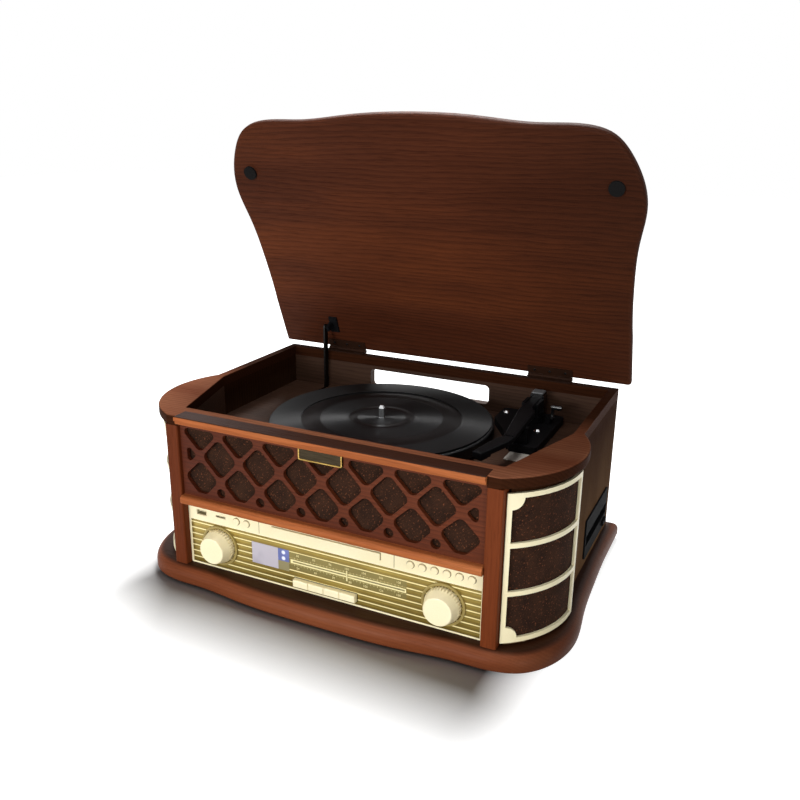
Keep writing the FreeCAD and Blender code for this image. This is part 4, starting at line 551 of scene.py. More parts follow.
@dataclass(frozen=True)
class DisplayPane(Finish):
    """A clear acrylic window over a pale liquid-crystal cell, beside a blue strip of lamps."""

    cell: str
    frame: str
    strip: str
    # Colour of the lamps' glow, painted into the surface.
    lamp: str
    strip_dim: str = "4A5488"
    foot: str = "8A8058"
    cell_tones: Span = (0.3, 0.45)
    strip_tones: Span = (0.25, 0.7)
    cloud_mm: float = 30.0
    split_mm: float = -59.0
    strip_foot_mm: float = 54.0
    front_mm: float = -149.0
    lamp_x_mm: float = -52.0
    lamp_z_mm: Span = (57.5, 64.5)
    lamp_edge_mm: Span = (1.6, 2.8)
    roughness: float = 0.16
    acrylic_ior: float = 1.49
    coat: float = 0.5
    relief_mm: float = 0.02

    def paint(self, shade: Shade) -> None:
        """Lay the cell, the strip with its plain foot, and the lamps' glow as painted light.

        Args:
            shade: the material being built.
        """
        cloud = shade.noise(self.cloud_mm, detail=2.0)
        cell = shade.ramp(cloud, self.cell_tones, (self.frame, self.cell))
        strip = shade.ramp(cloud, self.strip_tones, (self.strip_dim, self.strip))
        lit = shade.value("GREATER_THAN", shade.along["Z"], self.strip_foot_mm * MM)
        right = shade.value("GREATER_THAN", shade.along["X"], self.split_mm * MM)
        colour = shade.mix(right, cell, shade.mix(lit, linear(self.foot), strip))
        # Each lamp's glow is painted light: a pale spot that dies out at its edge.
        near, far = (edge * MM for edge in self.lamp_edge_mm)
        for height in self.lamp_z_mm:
            middle = [c * MM for c in (self.lamp_x_mm, self.front_mm, height)]
            off = shade.vector("DISTANCE", shade.place, middle)
            colour = shade.tint(colour, self.lamp, shade.remap(off, (near, far), (1.0, 0.0)))
        shade.wear({
            "Base Color": colour,
            "Roughness": self.roughness,
            "IOR": self.acrylic_ior,
            "Coat Weight": self.coat,
        })
        shade.bump(cloud, self.relief_mm)


@dataclass(frozen=True)
class TurnedRubber(Finish):
    """Rubber with fine rings turned round the spindle, so a band of light runs out from it.

    The rings are drawn coarser than real ones to show. Swells are ring-shaped, each with its
    radius and half its width.
    """

    colour: str
    ring_tone: str
    roughness: float = 0.5
    tones: Span = (0.3, 0.75)
    centre_mm: Span = (-16.0, 15.0)
    ring_mm: float = 2.4
    ring_share: float = 0.35
    dust_mm: float = 14.0
    anisotropy: float = 0.85
    swells_mm: tuple[Span, ...] = ((34.0, 6.0), (84.0, 12.0))
    swell_from: float = 0.01
    swell_polish: float = -0.2
    gloss: float = 0.25
    ring_height: float = 0.04
    relief_mm: float = 0.6

    def paint(self, shade: Shade) -> None:
        """Lay the rings, the dust and the polished swells.

        Args:
            shade: the material being built.
        """
        centre = (self.centre_mm[0] * MM, self.centre_mm[1] * MM, 0.0)
        out = shade.vector("SUBTRACT", shade.place, centre)
        flat = shade.vector("MULTIPLY", out, (1.0, 1.0, 0.0))
        tangent = shade.vector("CROSS_PRODUCT", flat, (0.0, 0.0, 1.0))
        radius = shade.vector("LENGTH", flat)
        turns = shade.value("MULTIPLY", radius, 2 * math.pi / (self.ring_mm * MM))
        rings = shade.remap(shade.value("SINE", turns), (-1.0, 1.0))
        tone = shade.blend(rings, shade.noise(self.dust_mm, detail=4.0), self.ring_share)
        relief: Any = 0.0
        for middle, half in self.swells_mm:
            off = shade.value("ABSOLUTE", shade.value("SUBTRACT", radius, middle * MM))
            swell = shade.remap(off, (0.0, half * MM), (1.0, 0.0), smooth=True)
            relief = shade.value("MAXIMUM", relief, swell)
        raised = shade.value("GREATER_THAN", relief, self.swell_from)
        shade.wear({
            "Base Color": shade.ramp(tone, self.tones, (self.colour, self.ring_tone)),
            "Roughness": shade.value("MULTIPLY_ADD", raised, self.swell_polish, self.roughness),
            "Tangent": shade.vector("NORMALIZE", tangent),
            "Anisotropic": self.anisotropy,
            "Specular IOR Level": self.gloss,
        })
        shade.bump(shade.value("MULTIPLY_ADD", rings, self.ring_height, relief), self.relief_mm)


class Look(Enum):
    """Every finish of the object."""

    # The plinth is painted darker over its flat top and towards its right end: painted shade beside
    # the cabinet and on the side turned from the light.
    PLINTH = VarnishedWood(
        "Walnut-stained plinth", "60301A", "703A20", "7E462A", line_depth=0.1, pore_depth=0.1,
        gloss=0.08, shade_and_stain_tone="32190C", shade_and_stain_bands=(("Z", 20.6, 22.8), ("X", 190.0, 300.0)))
    # The rim's edge faces below its top are painted darker as shade, the light falling from above;
    # the rim also darkens towards the rear.
    RIM = VarnishedWood(
        "Walnut-stained rim", "74402A", "845038", "905C42", roughness=0.6, gloss=0.01,
        shade_and_stain_tone="361C0F", shade_and_stain_bands=(("Z", 203.6, 202.6), ("Y", -20.0, 40.0)))
    POST = VarnishedWood(
        "Walnut-stained post", "582610", "663016", "74381C", Grain.UPRIGHT,
        wander=2.0, line_depth=0.08, gloss=0.06)
    RAIL = VarnishedWood(
        "Oiled rail", "90502C", "A85E34", "B66E40", line_depth=0.15, gloss=0.06,
        shade_and_stain_tone="34190C", shade_and_stain_bands=(("Z", 203.2, 203.6),))
    FRET = VarnishedWood("Stained fretwork", "4C2011", "5A2A16", "66321C", gloss=0.1)
    # The side wall is painted darker towards the top: painted shade of the rim and the lid.
    WALL = VarnishedWood(
        "Stained side wall", "5E442E", "6C5038", "7A5C42", Grain.UPRIGHT,
        roughness=0.7, gloss=0.005, shade_and_stain_tone="301A0D", shade_and_stain_bands=(("Z", 60.0, 180.0),))
    # The lid is painted darker towards the right: painted shade where the light falls off from the
    # left.
    LID = VarnishedWood(
        "Ash-figured lid", "3E1C0D", "4A2413", "5C2E17", wander_mm=70.0, wander=7.0, ring_mm=3.4,
        line_depth=0.26, pore_depth=0.28, roughness=0.6, gloss=0.06,
        shade_and_stain_tone="2A1409", shade_and_stain_bands=(("X", 30.0, 420.0),))
    WELL = VarnishedWood("Stained deck", "3A281E", "483226", "543C2E", roughness=0.55, gloss=0.1)
    CREAM = MouldedPlastic("Cream moulding", "F6ECC6", "EFE2B6", 0.38, coat=0.05)
    CLOTH = SpeckledCloth("Grille cloth", "1E120C", "3A2418", "7E4A30")
    DIAL = StripedDial("Gold dial lacquer", "B8A050", "8A7436", "F4E8AC", "8C8252")
    DISPLAY = DisplayPane("Display window", "B8B2BC", "A8A2AE", "6C78BC", "E8ECFF")
    BLACK = MouldedPlastic("Black moulding", "0E0E10", "09090A", 0.5, depth_mm=0.03, gloss=0.08)
    MATT = MouldedPlastic("Matt black bezel", "161617", "101011", 0.7, depth_mm=0.03, gloss=0.02)
    SOCKET = MouldedPlastic("Beige socket shell", "C9BF9A", "B4AA86", 0.5, depth_mm=0.01)
    CAP = MouldedPlastic("Grey satin cap", "6E7072", "5C5E60", 0.45, depth_mm=0.01)
    POLISHED = MouldedPlastic(
        "Polished black moulding", "141416", "0C0C0D", 0.2, depth_mm=0.005, coat=0.4)
    MAT = TurnedRubber("Turned rubber mat", "0C0D0E", "151617")
    PLATTER = TurnedRubber("Turned platter", "0C0D0E", "151617", 0.34)
    CHROME = PlatedMetal("Bright chrome", "E8E9EA", "C4C6C8", 0.12)
    STEEL = PlatedMetal("Blackened steel", "2C2B2A", "1C1B1B", 0.34)
    MOTOR = PlatedMetal("Zinc-plated motor case", "A8A6A2", "807D79", 0.3)
    BRASS = PlatedMetal("Aged brass", "B89A58", "8A6C34", 0.3)
    GOLD = MouldedPlastic("Gold-lacquered ring", "97854A", "84733C", 0.4, depth_mm=0.01)
    BRONZE = MouldedPlastic(
        "Brown-lacquered hinge", "2A180F", "20120B", 0.6, depth_mm=0.01, gloss=0.05)
    RUBBER = MouldedPlastic("Foot rubber", "100F0F", "0B0A0A", 0.85, depth_mm=0.06, gloss=0.1)
    PALE_INK = MouldedPlastic("Pale dial print", "DCD09A", "CCBE84", 0.5, depth_mm=0.004)
    # Painted shade round and between the piano keys.
    SLOT = MouldedPlastic("Painted shade between keys", "2A2416", "1E190F", 0.7, depth_mm=0.01, gloss=0.1)
    # Painted shade in the seams and gaps of the cream strip.
    SEAM_SHADE = MouldedPlastic("Shadowed seam", "8C8060", "7A6E50", 0.6, depth_mm=0.004)
    PLATE = MouldedPlastic("Pale bare plate", "DCD6CC", "CCC4B8", 0.4, depth_mm=0.01)
    BOARD = MouldedPlastic("Circuit board", "1E5A38", "164628", 0.45)
    FIBRE = MouldedPlastic(
        "Pressed fibre", "3A2E26", "2A211B", 0.8, texture_mm=0.8, depth_mm=0.1)
    BADGE = PlatedMetal("Darkened badge field", "3A3226", "282218", 0.36)


@dataclass
class Dress:
    """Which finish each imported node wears."""

    looks: dict[Look, Material]
    worn: tuple[tuple[Look, str], ...] = (
        (Look.PLINTH, "plinth"),
        (Look.RIM, "top_rim"),
        (Look.POST, "front_posts"),
        (Look.RAIL, "front_rails"),
        (Look.FRET, "fretwork"),
        (Look.WALL, "side_walls corner_baffles"),
        (Look.LID, "lid_panel"),
        (Look.WELL, "well_liner deck_board rear_panel"),
        (Look.CREAM, "corner_frames control_fascia volume_knob tuning_knob disc_drawer"),
        (Look.CREAM, " ".join(KEYS + BUTTONS)),
        (Look.CLOTH, "grille_cloths"),
        (Look.DIAL, "dial_plate"),
        (Look.DISPLAY, "display_module"),
        (Look.BADGE, "badge_plate"),
        (Look.BLACK, "tonearm_base arm_yoke headshell tonearm cord_gland disc_cage stay_bracket"),
        (Look.MATT, "cassette_slot eject_key"),
        (Look.SOCKET, "memory_sockets"),
        (Look.PALE_INK, "dial_pointer"),
        (Look.POLISHED, "counterweight cue_lever"),
        (Look.GOLD, "knob_bezels"),
        (Look.MAT, "platter_mat"),
        (Look.PLATTER, "platter"),
        (Look.CHROME, "spindle base_screws"),
        (Look.STEEL, "stay_bar"),
        (Look.MOTOR, "drive_motor"),
        (Look.BRASS, "motor_pulley"),
        (Look.BRONZE, "cabinet_hinge_leaves lid_hinge_leaves"),
        (Look.RUBBER, "rubber_feet lid_bumpers drive_belt"),
        (Look.BOARD, "control_board"),
        (Look.FIBRE, "speaker_drivers"),
    )

    def apply(self, nodes: dict[str, Object]) -> None:
        """Give every node its finish.

        Args:
            nodes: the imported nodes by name.
        """
        left = set(nodes)
        for look, names in self.worn:
            for name in names.split():
                mesh = nodes[name].data
                mesh.materials.clear()
                mesh.materials.append(self.looks[look])
                left.discard(name)
        if left:
            LOG.warning("no finish for %s", sorted(left))


class Shape:
    """A closed shape that is being built from sizes in millimetres."""

    def __init__(self) -> None:
        """Start with nothing."""
        self.raw = bmesh.new()

    def slab(self, low: Sequence[float], high: Sequence[float], edge: float = 0.0) -> None:
        """Add one box, with eased edges where asked.

        Args:
            low: its lowest corner.
            high: its highest corner.
            edge: width of the eased edge.
        """
        middle = [(a + b) / 2 * MM for a, b in zip(low, high)]
        size = [(b - a) * MM for a, b in zip(low, high)]
        stand = Matrix.Translation(middle) @ Matrix.Diagonal((*size, 1.0))
        made = bmesh.ops.create_cube(self.raw, size=1.0, matrix=stand)
        if edge:
            edges = list({e for v in made["verts"] for e in v.link_edges})
            bmesh.ops.bevel(self.raw, geom=edges, offset=edge * MM, segments=2, affect="EDGES")

    def skin(self, rings: Sequence[Sequence[Point]], closed: bool = False) -> None:
        """Lay faces between rings of points.

        Args:
            rings: rings with one count of points.
            closed: whether the last ring joins the first, or else both ends are filled.
        """
        loops = [[self.raw.verts.new(Vector(p) * MM) for p in ring] for ring in rings]
        count = len(loops[0])
        after = loops[1:] + (loops[:1] if closed else [])
        for first, second in zip(loops, after):
            for i in range(count):
                j = (i + 1) % count
                self.raw.faces.new((first[i], first[j], second[j], second[i]))
        if not closed:
            self.raw.faces.new(loops[0])
            self.raw.faces.new(loops[-1])

    def mesh(self) -> Mesh:
        """Weld the shape and turn its faces outward.

        Returns:
            The finished mesh. The shape itself is used up.
        """
        bmesh.ops.remove_doubles(self.raw, verts=self.raw.verts, dist=WELD_M)
        bmesh.ops.recalc_face_normals(self.raw, faces=self.raw.faces)
        mesh = bpy.data.meshes.new("shape")
        self.raw.to_mesh(mesh)
        self.raw.free()
        return mesh


def loop_of(half_wide: float, half_high: float, corner: float, steps: int = 6) -> list[Span]:
    """Walk round a rounded rectangle.

    Args:
        half_wide: half its width.
        half_high: half its height.
        corner: its corner radius.
        steps: sides per corner.

    Returns:
        Points about its middle, the same count for any size.
    """
    points = []
    for quarter, (sx, sy) in enumerate(((1, 1), (-1, 1), (-1, -1), (1, -1))):
        for step in range(steps + 1):
            angle = math.pi / 2 * (quarter + step / steps)
            points.append((
                sx * (half_wide - corner) + corner * math.cos(angle),
                sy * (half_high - corner) + corner * math.sin(angle),
            ))
    return points


def round_loop(radius: float, depth: float, steps: int = 24) -> list[Point]:
    """Make a round loop about the front-to-back axis, at a depth along it."""
    turns = [2 * math.pi * i / steps for i in range(steps)]
    return [(radius * math.cos(t), depth, radius * math.sin(t)) for t in turns]


def ear_point(side: int, radius: float, turn: float, height: float) -> Point:
    """Place a point on a rounded corner in mm, on the left for side -1 and the right for 1."""
    x, y = EAR_MM
    return side * (x + radius * math.cos(turn)), y + radius * math.sin(turn), height


class Spread:
    """A small Geometry Nodes tree that sets one shape on many places."""

    def __init__(self, name: str, material: Material) -> None:
        """Keep the name and finish of what is spread."""
        self.name = name
        self.material = material

    def tree(self) -> NodeTree:
        """Build the tree: points, one instance on each, realised with its finish.

        Returns:
            The tree, with inputs for the points, the shape and its size.
        """
        tree = bpy.data.node_groups.new(self.name, "GeometryNodeTree")
        for label, way, kind in (
            ("Points", "INPUT", "Geometry"), ("Shape", "INPUT", "Object"),
            ("Size", "INPUT", "Float"), ("Geometry", "OUTPUT", "Geometry"),
        ):
            tree.interface.new_socket(label, in_out=way, socket_type=f"NodeSocket{kind}")
        nodes = Nodes(tree)
        start = nodes.add("NodeGroupInput").outputs
        shape = nodes.add("GeometryNodeObjectInfo", {"Object": start["Shape"]})
        dots = nodes.add("GeometryNodeMeshToPoints", {"Mesh": start["Points"]})
        turn, size = (
            nodes.add(
                "GeometryNodeInputNamedAttribute", {"Name": label}, data_type="FLOAT_VECTOR",
            ).outputs["Attribute"] for label in ("turn", "size"))
        scaled = nodes.add(
            "ShaderNodeVectorMath", {0: size, "Scale": start["Size"]}, operation="SCALE")
        copies = nodes.add("GeometryNodeInstanceOnPoints", {
            "Points": dots.outputs["Points"], "Instance": shape.outputs["Geometry"],
            "Rotation": turn, "Scale": scaled.outputs[0],
        })
        real = nodes.add("GeometryNodeRealizeInstances", {"Geometry": copies.outputs[0]})
        dressed = nodes.add("GeometryNodeSetMaterial", {
            "Geometry": real.outputs["Geometry"], "Material": self.material,
        })
        nodes.add("NodeGroupOutput", {"Geometry": dressed.outputs["Geometry"]})
        return tree

    def mesh(
        self, shape: Shape, places_mm: Sequence[Point], turn: Point = ZERO, size: float = 1.0,
        shares: Sequence[Point] | None = None,
    ) -> Mesh:
        """Spread a shape.

        Args:
            shape: what is spread.
            places_mm: where each one goes.
            turn: the turn of all of them about X, Y and Z.
            size: the size of all of them.
            shares: the share of that size along X, Y and Z for each one, or else all of it.

        Returns:
            All of them as one realised mesh.
        """
        dots = bpy.data.meshes.new(f"{self.name}_dots")
        dots.from_pydata([tuple(Vector(p) * MM) for p in places_mm], [], [])
        count = len(places_mm)
        for label, values in (("turn", [turn] * count), ("size", shares or [(1.0,) * 3] * count)):
            layer = dots.attributes.new(label, "FLOAT_VECTOR", "POINT")
            layer.data.foreach_set("vector", [c for v in values for c in v])
        holder = bpy.data.objects.new(f"{self.name}_holder", dots)
        pattern = bpy.data.objects.new(f"{self.name}_shape", shape.mesh())
        for thing in (holder, pattern):
            bpy.context.scene.collection.objects.link(thing)
        tree = self.tree()
        modifier = holder.modifiers.new(self.name, "NODES")
        modifier.node_group = tree
        sockets = {s.name: s.identifier for s in tree.interface.items_tree if s.in_out == "INPUT"}
        modifier[sockets["Shape"]] = pattern
        modifier[sockets["Size"]] = size
        graph = bpy.context.evaluated_depsgraph_get()
        graph.update()
        made = bpy.data.meshes.new_from_object(holder.evaluated_get(graph))
        holder.modifiers.clear()
        for thing in (holder, pattern):
            bpy.data.objects.remove(thing)
        return made


@dataclass
class Assembly:
    """A group of new pieces that wear the object's finishes."""

    looks: dict[Look, Material]
    pieces: list[Object] = field(default_factory=list)

    def put(
        self, name: str, mesh: Mesh, look: Look, slot: Slot, body: Body = Body.CABINET,
    ) -> Object:
        """Put a finished mesh on a body.

        Args:
            name: the piece's name.
            mesh: its mesh, already in the frame's place.
            look: its finish, unless the mesh has one.
            slot: the record's slot for it; not used.
            body: the body that it moves with.

        Returns:
            The new piece.
        """
        mesh.name = name
        piece = bpy.data.objects.new(name, mesh)
        bpy.context.scene.collection.objects.link(piece)
        if not mesh.materials:
            mesh.materials.append(self.looks[look])
        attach(piece, body.value)
        self.pieces.append(piece)
        return piece


@dataclass
class DialPrint(Assembly):
    """Numbers and ticks of the tuning dial."""

    front_mm: float = -149.0
    proud_mm: float = 0.12
    row_z_mm: Span = (64.2, 49.4)
    figure_mm: float = 3.6
    figure_steps: int = 2
    rows: tuple[tuple[tuple[float, str], ...], ...] = (
        ((-34, "88"), (-14, "92"), (6, "96"), (26, "100"), (46, "104"), (66, "106"), (86, "108")),
        ((-34, "54"), (-12, "60"), (10, "70"), (30, "80"), (48, "100"), (66, "120"), (86, "160")),
    )
    tick_z_mm: Span = (60.6, 52.6)
    first_tick_mm: float = -38.0
    tick_pitch_mm: float = 4.0
    tick_count: int = 33
    tick_half_mm: Span = (0.2, 1.0)
    long_every: int = 5
    short_share: float = 0.55

    def figure(self, text: str, along: float, height: float) -> Mesh:
        """Set one number.

        Args:
            text: its digits.
            along: its middle across, in mm.
            height: its middle upward, in mm.

        Returns:
            Its mesh.
        """
        curve = bpy.data.curves.new("figure", "FONT")
        curve.body = text
        curve.size = self.figure_mm * MM
        curve.align_x = "CENTER"
        curve.align_y = "CENTER"
        curve.resolution_u = self.figure_steps
        curve.extrude = self.proud_mm * MM / 2
        carrier = bpy.data.objects.new("figure", curve)
        made = bpy.data.meshes.new_from_object(carrier)
        middle = Vector((along, self.front_mm - self.proud_mm / 2, height)) * MM
        made.transform(Matrix.Translation(middle) @ Matrix.Rotation(math.pi / 2, 4, "X"))
        bpy.data.objects.remove(carrier)
        bpy.data.curves.remove(curve)
        return made

    def numbers(self) -> Mesh:
        """Set the two rows of figures.

        Returns:
            All of them as one mesh.
        """
        shape = Shape()
        for height, row in zip(self.row_z_mm, self.rows):
            for along, text in row:
                made = self.figure(text, along, height)
                shape.raw.from_mesh(made)
                bpy.data.meshes.remove(made)
        return shape.mesh()

    def ticks(self) -> Mesh:
        """Spread the scale's ticks, the first of each few longer.

        Returns:
            All of them as one mesh.
        """
        wide, high = self.tick_half_mm
        mark = Shape()
        mark.slab((-wide, -self.proud_mm, -high), (wide, 0.0, high))
        places, shares = [], []
        for height in self.tick_z_mm:
            for i in range(self.tick_count):
                along = self.first_tick_mm + i * self.tick_pitch_mm
                places.append((along, self.front_mm, height))
                shares.append((1.0, 1.0, self.short_share if i % self.long_every else 1.0))
        return Spread("dial_ticks", self.looks[Look.PALE_INK]).mesh(mark, places, shares=shares)

    def build(self) -> None:
        """Put the print on the cabinet."""
        self.put("dial_numbers", self.numbers(), Look.PALE_INK, Slot.DIAL)
        self.put("dial_ticks", self.ticks(), Look.PALE_INK, Slot.DIAL)


@dataclass
class FrontTrim(Assembly):
    """Painted shade of the cream strip's parting lines and gaps, and the edge of the bare badge."""

    front_mm: float = -149.0
    sunk_mm: float = 0.1
    ring_gap_mm: Span = (0.2, 0.65)
    ring_proud_mm: float = 0.15
    line_x_mm: Span = (-82.5, 80.7)
    line_z_mm: Span = (80.0, 98.0)
    line_half_mm: float = 0.3
    line_proud_mm: float = 0.12
    seam_gap_mm: float = 0.35
    seam_side_mm: float = 0.9
    seam_end_mm: float = 0.8
    seam_proud_mm: float = 0.1
    key_shade_gap_mm: float = 0.1
    key_shade_mm: float = 0.9
    key_shade_proud_mm: float = 0.15
    badge_z_mm: float = 187.5
    badge_front_mm: float = -155.5
    badge_half_mm: Span = (25.5, 7.0)
    badge_corner_mm: float = 2.0
    least_corner_mm: float = 0.4
    frame_mm: float = 1.5
    frame_ease_mm: float = 0.3
    frame_lift_mm: Span = (0.5, 0.8)

    def rings(self) -> Mesh:
        """Spread a thin ring of painted shade in the gap round every button.

        Returns:
            All rings as one mesh.
        """
        boxes = [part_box(name) for name in BUTTONS]
        radius = (boxes[0][1].x - boxes[0][0].x) / 2 / MM
        near, far = (radius + gap for gap in self.ring_gap_mm)
        back, lip = self.sunk_mm, -self.ring_proud_mm
        ring = Shape()
        ring.skin([
            round_loop(r, y) for r, y in ((near, back), (near, lip), (far, lip), (far, back))
        ], closed=True)
        middles = [(low + high) / 2 / MM for low, high in boxes]
        places = [(middle.x, self.front_mm, middle.z) for middle in middles]
        return Spread("button_rings", self.looks[Look.SEAM_SHADE]).mesh(ring, places)

    def bars(self, spans: Sequence[tuple[float, ...]], proud: float) -> Mesh:
        """Lay flat bars on the strip.

        Args:
            spans: each bar's left, right, foot and head in mm.
            proud: how far they stand off the strip in mm.

        Returns:
            All bars as one mesh.
        """
        shape = Shape()
        for left, right, foot, head in spans:
            shape.slab(
                (left, self.front_mm - proud, foot), (right, self.front_mm + self.sunk_mm, head))
        return shape.mesh()

    def lines(self) -> Mesh:
        """Return the painted shade of the two parting lines as one mesh."""
        half = self.line_half_mm
        return self.bars(
            [(x - half, x + half, *self.line_z_mm) for x in self.line_x_mm], self.line_proud_mm)

    def drawer_seam(self) -> Mesh:
        """Lay a line of painted shade in the gap round the drawer's front.

        Returns:
            One flat frame.
        """
        low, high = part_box("disc_drawer")
        wide = (high.x - low.x) / 2 / MM
        gap, end = self.seam_gap_mm, self.seam_end_mm
        inner, outer = wide + gap, wide + self.seam_side_mm
        foot, head = low.z / MM, high.z / MM
        return self.bars((
            (-outer, outer, head + gap, head + end), (-outer, outer, foot - end, foot - gap),
            (inner, outer, foot - gap, head + gap), (-outer, -inner, foot - gap, head + gap),
        ), self.seam_proud_mm)

    def key_slot(self) -> Mesh:
        """Lay painted shade round and between the piano keys.

        Returns:
            One flat frame with its bars.
        """
        boxes = [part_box(name) for name in KEYS]
        edges = sorted((low.x / MM, high.x / MM) for low, high in boxes)
        foot, head = boxes[0][0].z / MM, boxes[0][1].z / MM
        left, right = edges[0][0], edges[-1][1]
        rim, gap = self.key_shade_mm, self.key_shade_gap_mm
        between = [
            (a[1] + gap, b[0] - gap, foot - gap, head + gap) for a, b in zip(edges, edges[1:])]
        return self.bars(between + [
            (left - rim, left - gap, foot - rim, head + rim),
            (right + gap, right + rim, foot - rim, head + rim),
            (left - gap, right + gap, foot - rim, foot - gap),
            (left - gap, right + gap, head + gap, head + rim),
        ], self.key_shade_proud_mm)

    def badge_edge(self) -> Mesh:
        """Run a raised and eased edge round the badge.

        Returns:
            One closed frame.
        """
        wide, high = self.badge_half_mm
        inner, ease = self.frame_mm, self.frame_ease_mm
        side, crown = self.frame_lift_mm
        shape = Shape()
        shape.skin([[
            (x, self.badge_front_mm - lift, self.badge_z_mm + z) for x, z in loop_of(
                wide - inset, high - inset,
                max(self.badge_corner_mm - inset, self.least_corner_mm))
        ] for inset, lift in (
            (0.0, -self.sunk_mm), (0.0, side), (ease, crown),
            (inner - ease, crown), (inner, side), (inner, -self.sunk_mm),
        )], closed=True)
        return shape.mesh()

    def build(self) -> None:
        """Put them all on the cabinet."""
        self.put("button_rings", self.rings(), Look.SEAM_SHADE, Slot.CREAM)
        self.put("strip_lines", self.lines(), Look.SEAM_SHADE, Slot.CREAM)
        self.put("key_slot", self.key_slot(), Look.SLOT, Slot.BLACK)
        self.put("drawer_seam", self.drawer_seam(), Look.SEAM_SHADE, Slot.CREAM)
        self.put("badge_edge", self.badge_edge(), Look.BRASS, Slot.BRASS)


@dataclass
class GrilleCloths(Assembly):
    """Loudspeaker cloths, stretched flat behind the fretwork and bent round both corners."""

    thread_mm: float = 2.0
    relief_mm: float = 0.1
    thick_mm: float = 0.4
    fret_half_mm: float = 177.6
    fret_z_mm: Span = (110.2, 194.3)
    fret_y_mm: float = -147.9
    corner_r_mm: float = 95.8
    corner_turns_deg: Span = (-58.6, 0.9)
    corner_z_mm: Span = (27.2, 186.3)

    def woven(
        self, wide: float, high: float, place: Callable[[float, float, float], Point],
    ) -> Mesh:
        """Weave one sheet, its threads drawn coarser than real ones to show.

        Args:
            wide: its cut width in mm.
            high: its cut height in mm.
            place: where a point across, up and off the sheet lies, in mm.

        Returns:
            The sheet with its thickness.
        """
        across, up = round(wide / self.thread_mm), round(high / self.thread_mm)
        shape = Shape()
        rows = [[
            shape.raw.verts.new(Vector(place(
                wide * i / across, high * j / up,
                self.relief_mm if (i + j) % 2 else -self.relief_mm)) * MM)
            for i in range(across + 1)
        ] for j in range(up + 1)]
        for low, top in zip(rows, rows[1:]):
            for i in range(across):
                shape.raw.faces.new((low[i], low[i + 1], top[i + 1], top[i]))
        shape.raw.normal_update()
        bmesh.ops.solidify(shape.raw, geom=shape.raw.faces[:], thickness=self.thick_mm * MM)
        return shape.mesh()

    def fret_point(self, across: float, up: float, off: float) -> Point:
        """Place a point of the flat cloth behind the fretwork."""
        return across - self.fret_half_mm, self.fret_y_mm - off, self.fret_z_mm[0] + up

    def corner_point(self, side: int, across: float, up: float, off: float) -> Point:
        """Place a point of a bent corner cloth, on the side that ear_point takes."""
        turn = math.radians(self.corner_turns_deg[0]) + across / self.corner_r_mm
        return ear_point(side, self.corner_r_mm + off, turn, self.corner_z_mm[0] + up)

    def build(self) -> None:
        """Stretch the three cloths on the cabinet in place of their plain solids."""
        first, last = self.corner_turns_deg
        flat = (2 * self.fret_half_mm, self.fret_z_mm[1] - self.fret_z_mm[0])
        bend = math.radians(last - first) * self.corner_r_mm
        bent = (bend, self.corner_z_mm[1] - self.corner_z_mm[0])
        for name, (wide, high), place, holder in (
            ("fret_cloth", flat, self.fret_point, "fretwork"),
            ("left_corner_cloth", bent, partial(self.corner_point, -1), "corner_frames"),
            ("right_corner_cloth", bent, partial(self.corner_point, 1), "corner_frames"),
        ):
            piece = self.put(name, self.woven(wide, high, place), Look.CLOTH, Slot.CLOTH)
            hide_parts("grille_cloths")


